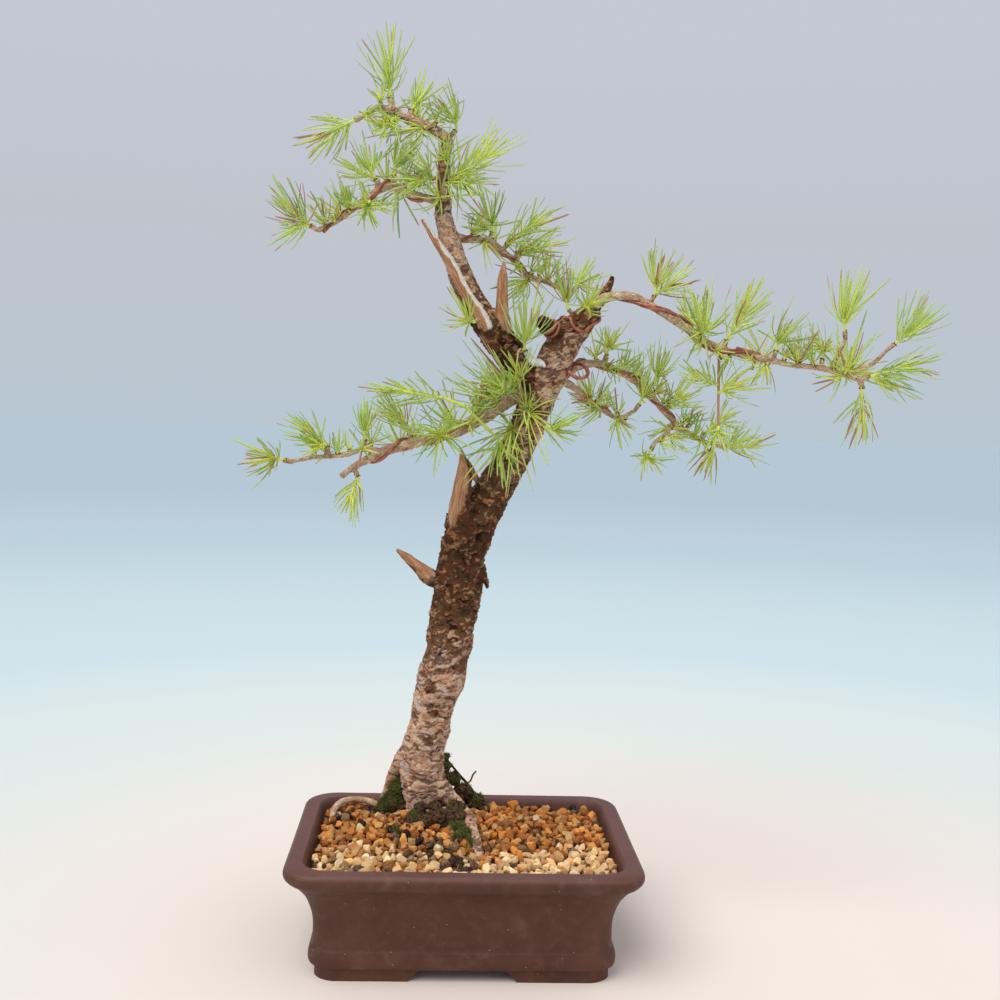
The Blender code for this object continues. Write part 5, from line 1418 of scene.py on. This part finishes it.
# Small tufts: buds along the branches that opened later, with fewer and shorter needles, and bud scales
# like brown paper round the foot of every tuft.
# For each branch: where its late buds start and end along it, and how far apart they are
LATE_BUDS = {
    "apex": (150.0, 188.0, 5.5), "apex_left": (3.0, 18.0, 6.0), "upper_left": (16.0, 70.0, 7.0),
    "middle": (14.0, 74.0, 6.5), "lower_right": (40.0, 128.0, 5.5), "lower_right_fork": (20.0, 52.0, 8.0),
    "lower_left": (8.0, 66.0, 7.0), "lower_left_fork": (6.0, 40.0, 7.0), "right": (68.0, 150.0, 8.0),
    "lower_right_twig": (4.0, 14.0, 5.0),
}
LATE_TUFTS = [
    ((-29, 8, 407), (-43, 2, 398)), ((-32, 16, 410), (-30, 36, 424)), ((-65, 6, 364), (-68, 4, 372)),
    ((-41, 14, 376), (-46, 34, 385)), ((27, 37, 337), (16, 34, 327)), ((162, 6, 297), (159, 2, 306)),
    ((144, 10, 299), (152, 32, 307)), ((188, 3, 293), (201, 26, 301)), ((133, 63, 251), (127, 58, 239)),
    ((62, 44, 277), (58, 38, 287)), ((68, 48, 272), (59, 42, 265)), ((78, 52, 267), (78, 48, 255)),
    ((-10, 6, 259), (-14, 0, 272)), ((2, 10, 268), (-1, 6, 277)), ((-37, 1, 250), (-39, 22, 254)),
    ((22, 14, 284), (16, 2, 292)), ((26, 16, 270), (24, 4, 276)), ((18, 14, 262), (10, 2, 258)),
    ((-17, 10, 392), (-28, -2, 396)), ((-18, 10, 380), (-6, 0, 384)), ((-19, 10, 374), (-30, -2, 370)),
]
FORK_TUFTS = [
    ((20, 16, 282), (6, -2, 290)), ((27, 17, 268), (32, -6, 260)), ((15, 17, 260), (4, -2, 247)),
    ((12, 15, 272), (-2, -2, 272)),
]
SCALES_A_BUD = 6
SCALE_RADII = (0.9, 1.5)
SCALE_STRETCH = np.array((1.2, 0.8, 0.5))
BUD_SEED = 31
draw = random.Random(BUD_SEED)


def late_bud(start, length, count, out):
    """One small tuft, set on the bark nearest to its place."""
    place, _, _, _ = wood.find_nearest(start.tolist())
    foot = np.array(place) - out * 0.8
    tip = foot + out * draw.uniform(2.4, 4.0)
    tufts.stem(np.array([[*foot, 0.9], [*tip, 0.7]]), 0.3, 0.75)
    tufts.tuft(foot + out * 1.6, tip, count, length, draw.uniform(66, 95))
    bud_feet.append((foot + out * 1.6, out))


def bud_scale():
    scale = Finish("bud_scale", Roughness=0.7)
    colour = scale.mix(scale.fade(scale.lumps(1.4, 3), 0.35, 0.7), tone(150, 92, 50), tone(86, 52, 34))
    return scale.show(colour, 0.6 + scale.lumps(1, 2) * 0.3, scale.lumps(0.5, 3), 0.1, 0.6)


bud_feet = [(end + out * 0.3, out) for _, end, out in spurs.values()]
tufts = Spray(0.06)
for limb, (start, end, step) in LATE_BUDS.items():
    fine = smooth_route(LIMBS[limb][1], 1.0)
    lengths = lengths_along(fine)
    tangents, _, _ = frames_along(fine[:, :3])
    along = start
    while along < min(end, lengths[-1]):
        index = int(np.searchsorted(lengths, along))
        out = np.array([draw.gauss(0, 0.5), draw.uniform(-1.0, 0.6), draw.uniform(-0.5, 1.2)])
        out = unit(out - tangents[index] * (out @ tangents[index]))
        late_bud(fine[index, :3] + out * 3, draw.uniform(9, 14), draw.choice([4, 5, 6]), out)
        along += step * draw.uniform(0.7, 1.3)
for start, end in LATE_TUFTS + FORK_TUFTS:
    out = np.array(end, float) - start
    late_bud(np.array(start, float), np.linalg.norm(out) * 1.1, 9, unit(out))
tufts.finish("late_tufts")
scales = Bundle()
lump, faces = chipped_grain(5)
for foot, out in bud_feet:
    side = unit(np.cross(out, (0.2, 0.5, 0.8)))
    for index in range(SCALES_A_BUD):
        turn = index * GOLDEN_ANGLE
        across = side * math.cos(turn) + np.cross(out, side) * math.sin(turn)
        size = draw.uniform(*SCALE_RADII) * 0.6
        scale = turned(lump * SCALE_STRETCH, draw) * size
        scales.add(scale + foot + across * 0.8 + out * draw.uniform(-0.6, 0.8), faces)
buds = make_piece("bud_scales", scales.points, scales.faces, bud_scale())
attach(buds, "root")


# The studio: a pale floor, a soft grey-blue surround and large soft lights, with the camera a little
# above the middle of the tree.
CAMERA_PLACE = (-17.0, -621.0, 266.0)
CAMERA_TURN = (2.8, -3.85, 1.75)
CAMERA_LENS = 45.0
LIGHTS = [
    ("key_light", (-0.45, -0.55, 1.0), 1.85, 45.0),
    ("fill_light", (0.7, -0.3, 0.6), 0.25, 60.0),
]
FLOOR_REACH = 20000.0
# Tones of the floor, from beside the pot at 0 to four metres away at 1, and of the air by height. The bright,
# warm floor beside the pot is a painted pool of light.
FLOOR_TONES = [
    (0.0, tone(242, 227, 213)), (0.018, tone(222, 227, 218)), (0.085, tone(201, 218, 218)),
    (0.43, tone(183, 201, 205)), (1.0, tone(174, 189, 196)),
]
AIR_TONES = [(0.5, tone(183, 197, 208)), (0.573, tone(191, 195, 204)), (0.64, tone(195, 199, 211))]


def floor_finish():
    """Pale paper, painted bright and warm beside the pot as a painted pool of light, and darker and cooler
    with distance, where it meets the grey-blue surround.
    """
    paper = Finish("floor_paper", Roughness=0.8, Specular_IOR_Level=0.1)
    away = paper.node("ShaderNodeVectorMath", {"operation": "LENGTH"}, {0: paper.place}, "Value")
    colour = paper.node("ShaderNodeValToRGB", {"stops": FLOOR_TONES}, {0: paper.fade(away, 0.1, 4.0)})
    return paper.show(colour)


corners = [(-FLOOR_REACH, -FLOOR_REACH, 0), (FLOOR_REACH, -FLOOR_REACH, 0),
           (FLOOR_REACH, FLOOR_REACH, 0), (-FLOOR_REACH, FLOOR_REACH, 0)]
floor = make_piece("studio_floor", corners, [(0, 1, 2, 3)], floor_finish())

surround = bpy.data.worlds.new("studio_air")
bpy.context.scene.world = surround
surround.use_nodes = True
air = surround.node_tree
upwards = air.nodes.new("ShaderNodeTexCoord")
split = air.nodes.new("ShaderNodeSeparateXYZ")
half = air.nodes.new("ShaderNodeMapRange")
half.inputs["From Min"].default_value = -1.0
ramp = air.nodes.new("ShaderNodeValToRGB")
ramp.color_ramp.elements.new(0.6)
for element, (position, colour) in zip(ramp.color_ramp.elements, AIR_TONES):
    element.position = position
    element.color = colour
air.links.new(upwards.outputs["Generated"], split.inputs[0])
air.links.new(split.outputs["Z"], half.inputs["Value"])
air.links.new(half.outputs[0], ramp.inputs[0])
air.links.new(ramp.outputs["Color"], air.nodes["Background"].inputs["Color"])
bpy.context.scene.view_settings.view_transform = "Standard"

for name, direction, power, softness in LIGHTS:
    lamp = bpy.data.lights.new(name, "SUN")
    lamp.energy = power
    lamp.angle = math.radians(softness)
    lantern = bpy.data.objects.new(name, lamp)
    lantern.rotation_euler = Vector(direction).to_track_quat("Z", "Y").to_euler()
    bpy.context.scene.collection.objects.link(lantern)

yaw, pitch, roll = [math.radians(angle) for angle in CAMERA_TURN]
forward = Vector((math.sin(yaw) * math.cos(pitch), math.cos(yaw) * math.cos(pitch), math.sin(pitch)))
level = Vector((math.cos(yaw), -math.sin(yaw), 0))
upright = level.cross(forward)
right = level * math.cos(roll) + upright * math.sin(roll)
up = upright * math.cos(roll) - level * math.sin(roll)
lens = bpy.data.cameras.new("camera")
lens.lens = CAMERA_LENS
camera = bpy.data.objects.new("camera", lens)
camera.rotation_euler = Matrix((right, up, -forward)).transposed().to_euler()
camera.location = Vector(CAMERA_PLACE) * MM + Vector((pot_middle.x, pot_middle.y, 0))
bpy.context.scene.collection.objects.link(camera)
bpy.context.scene.camera = camera
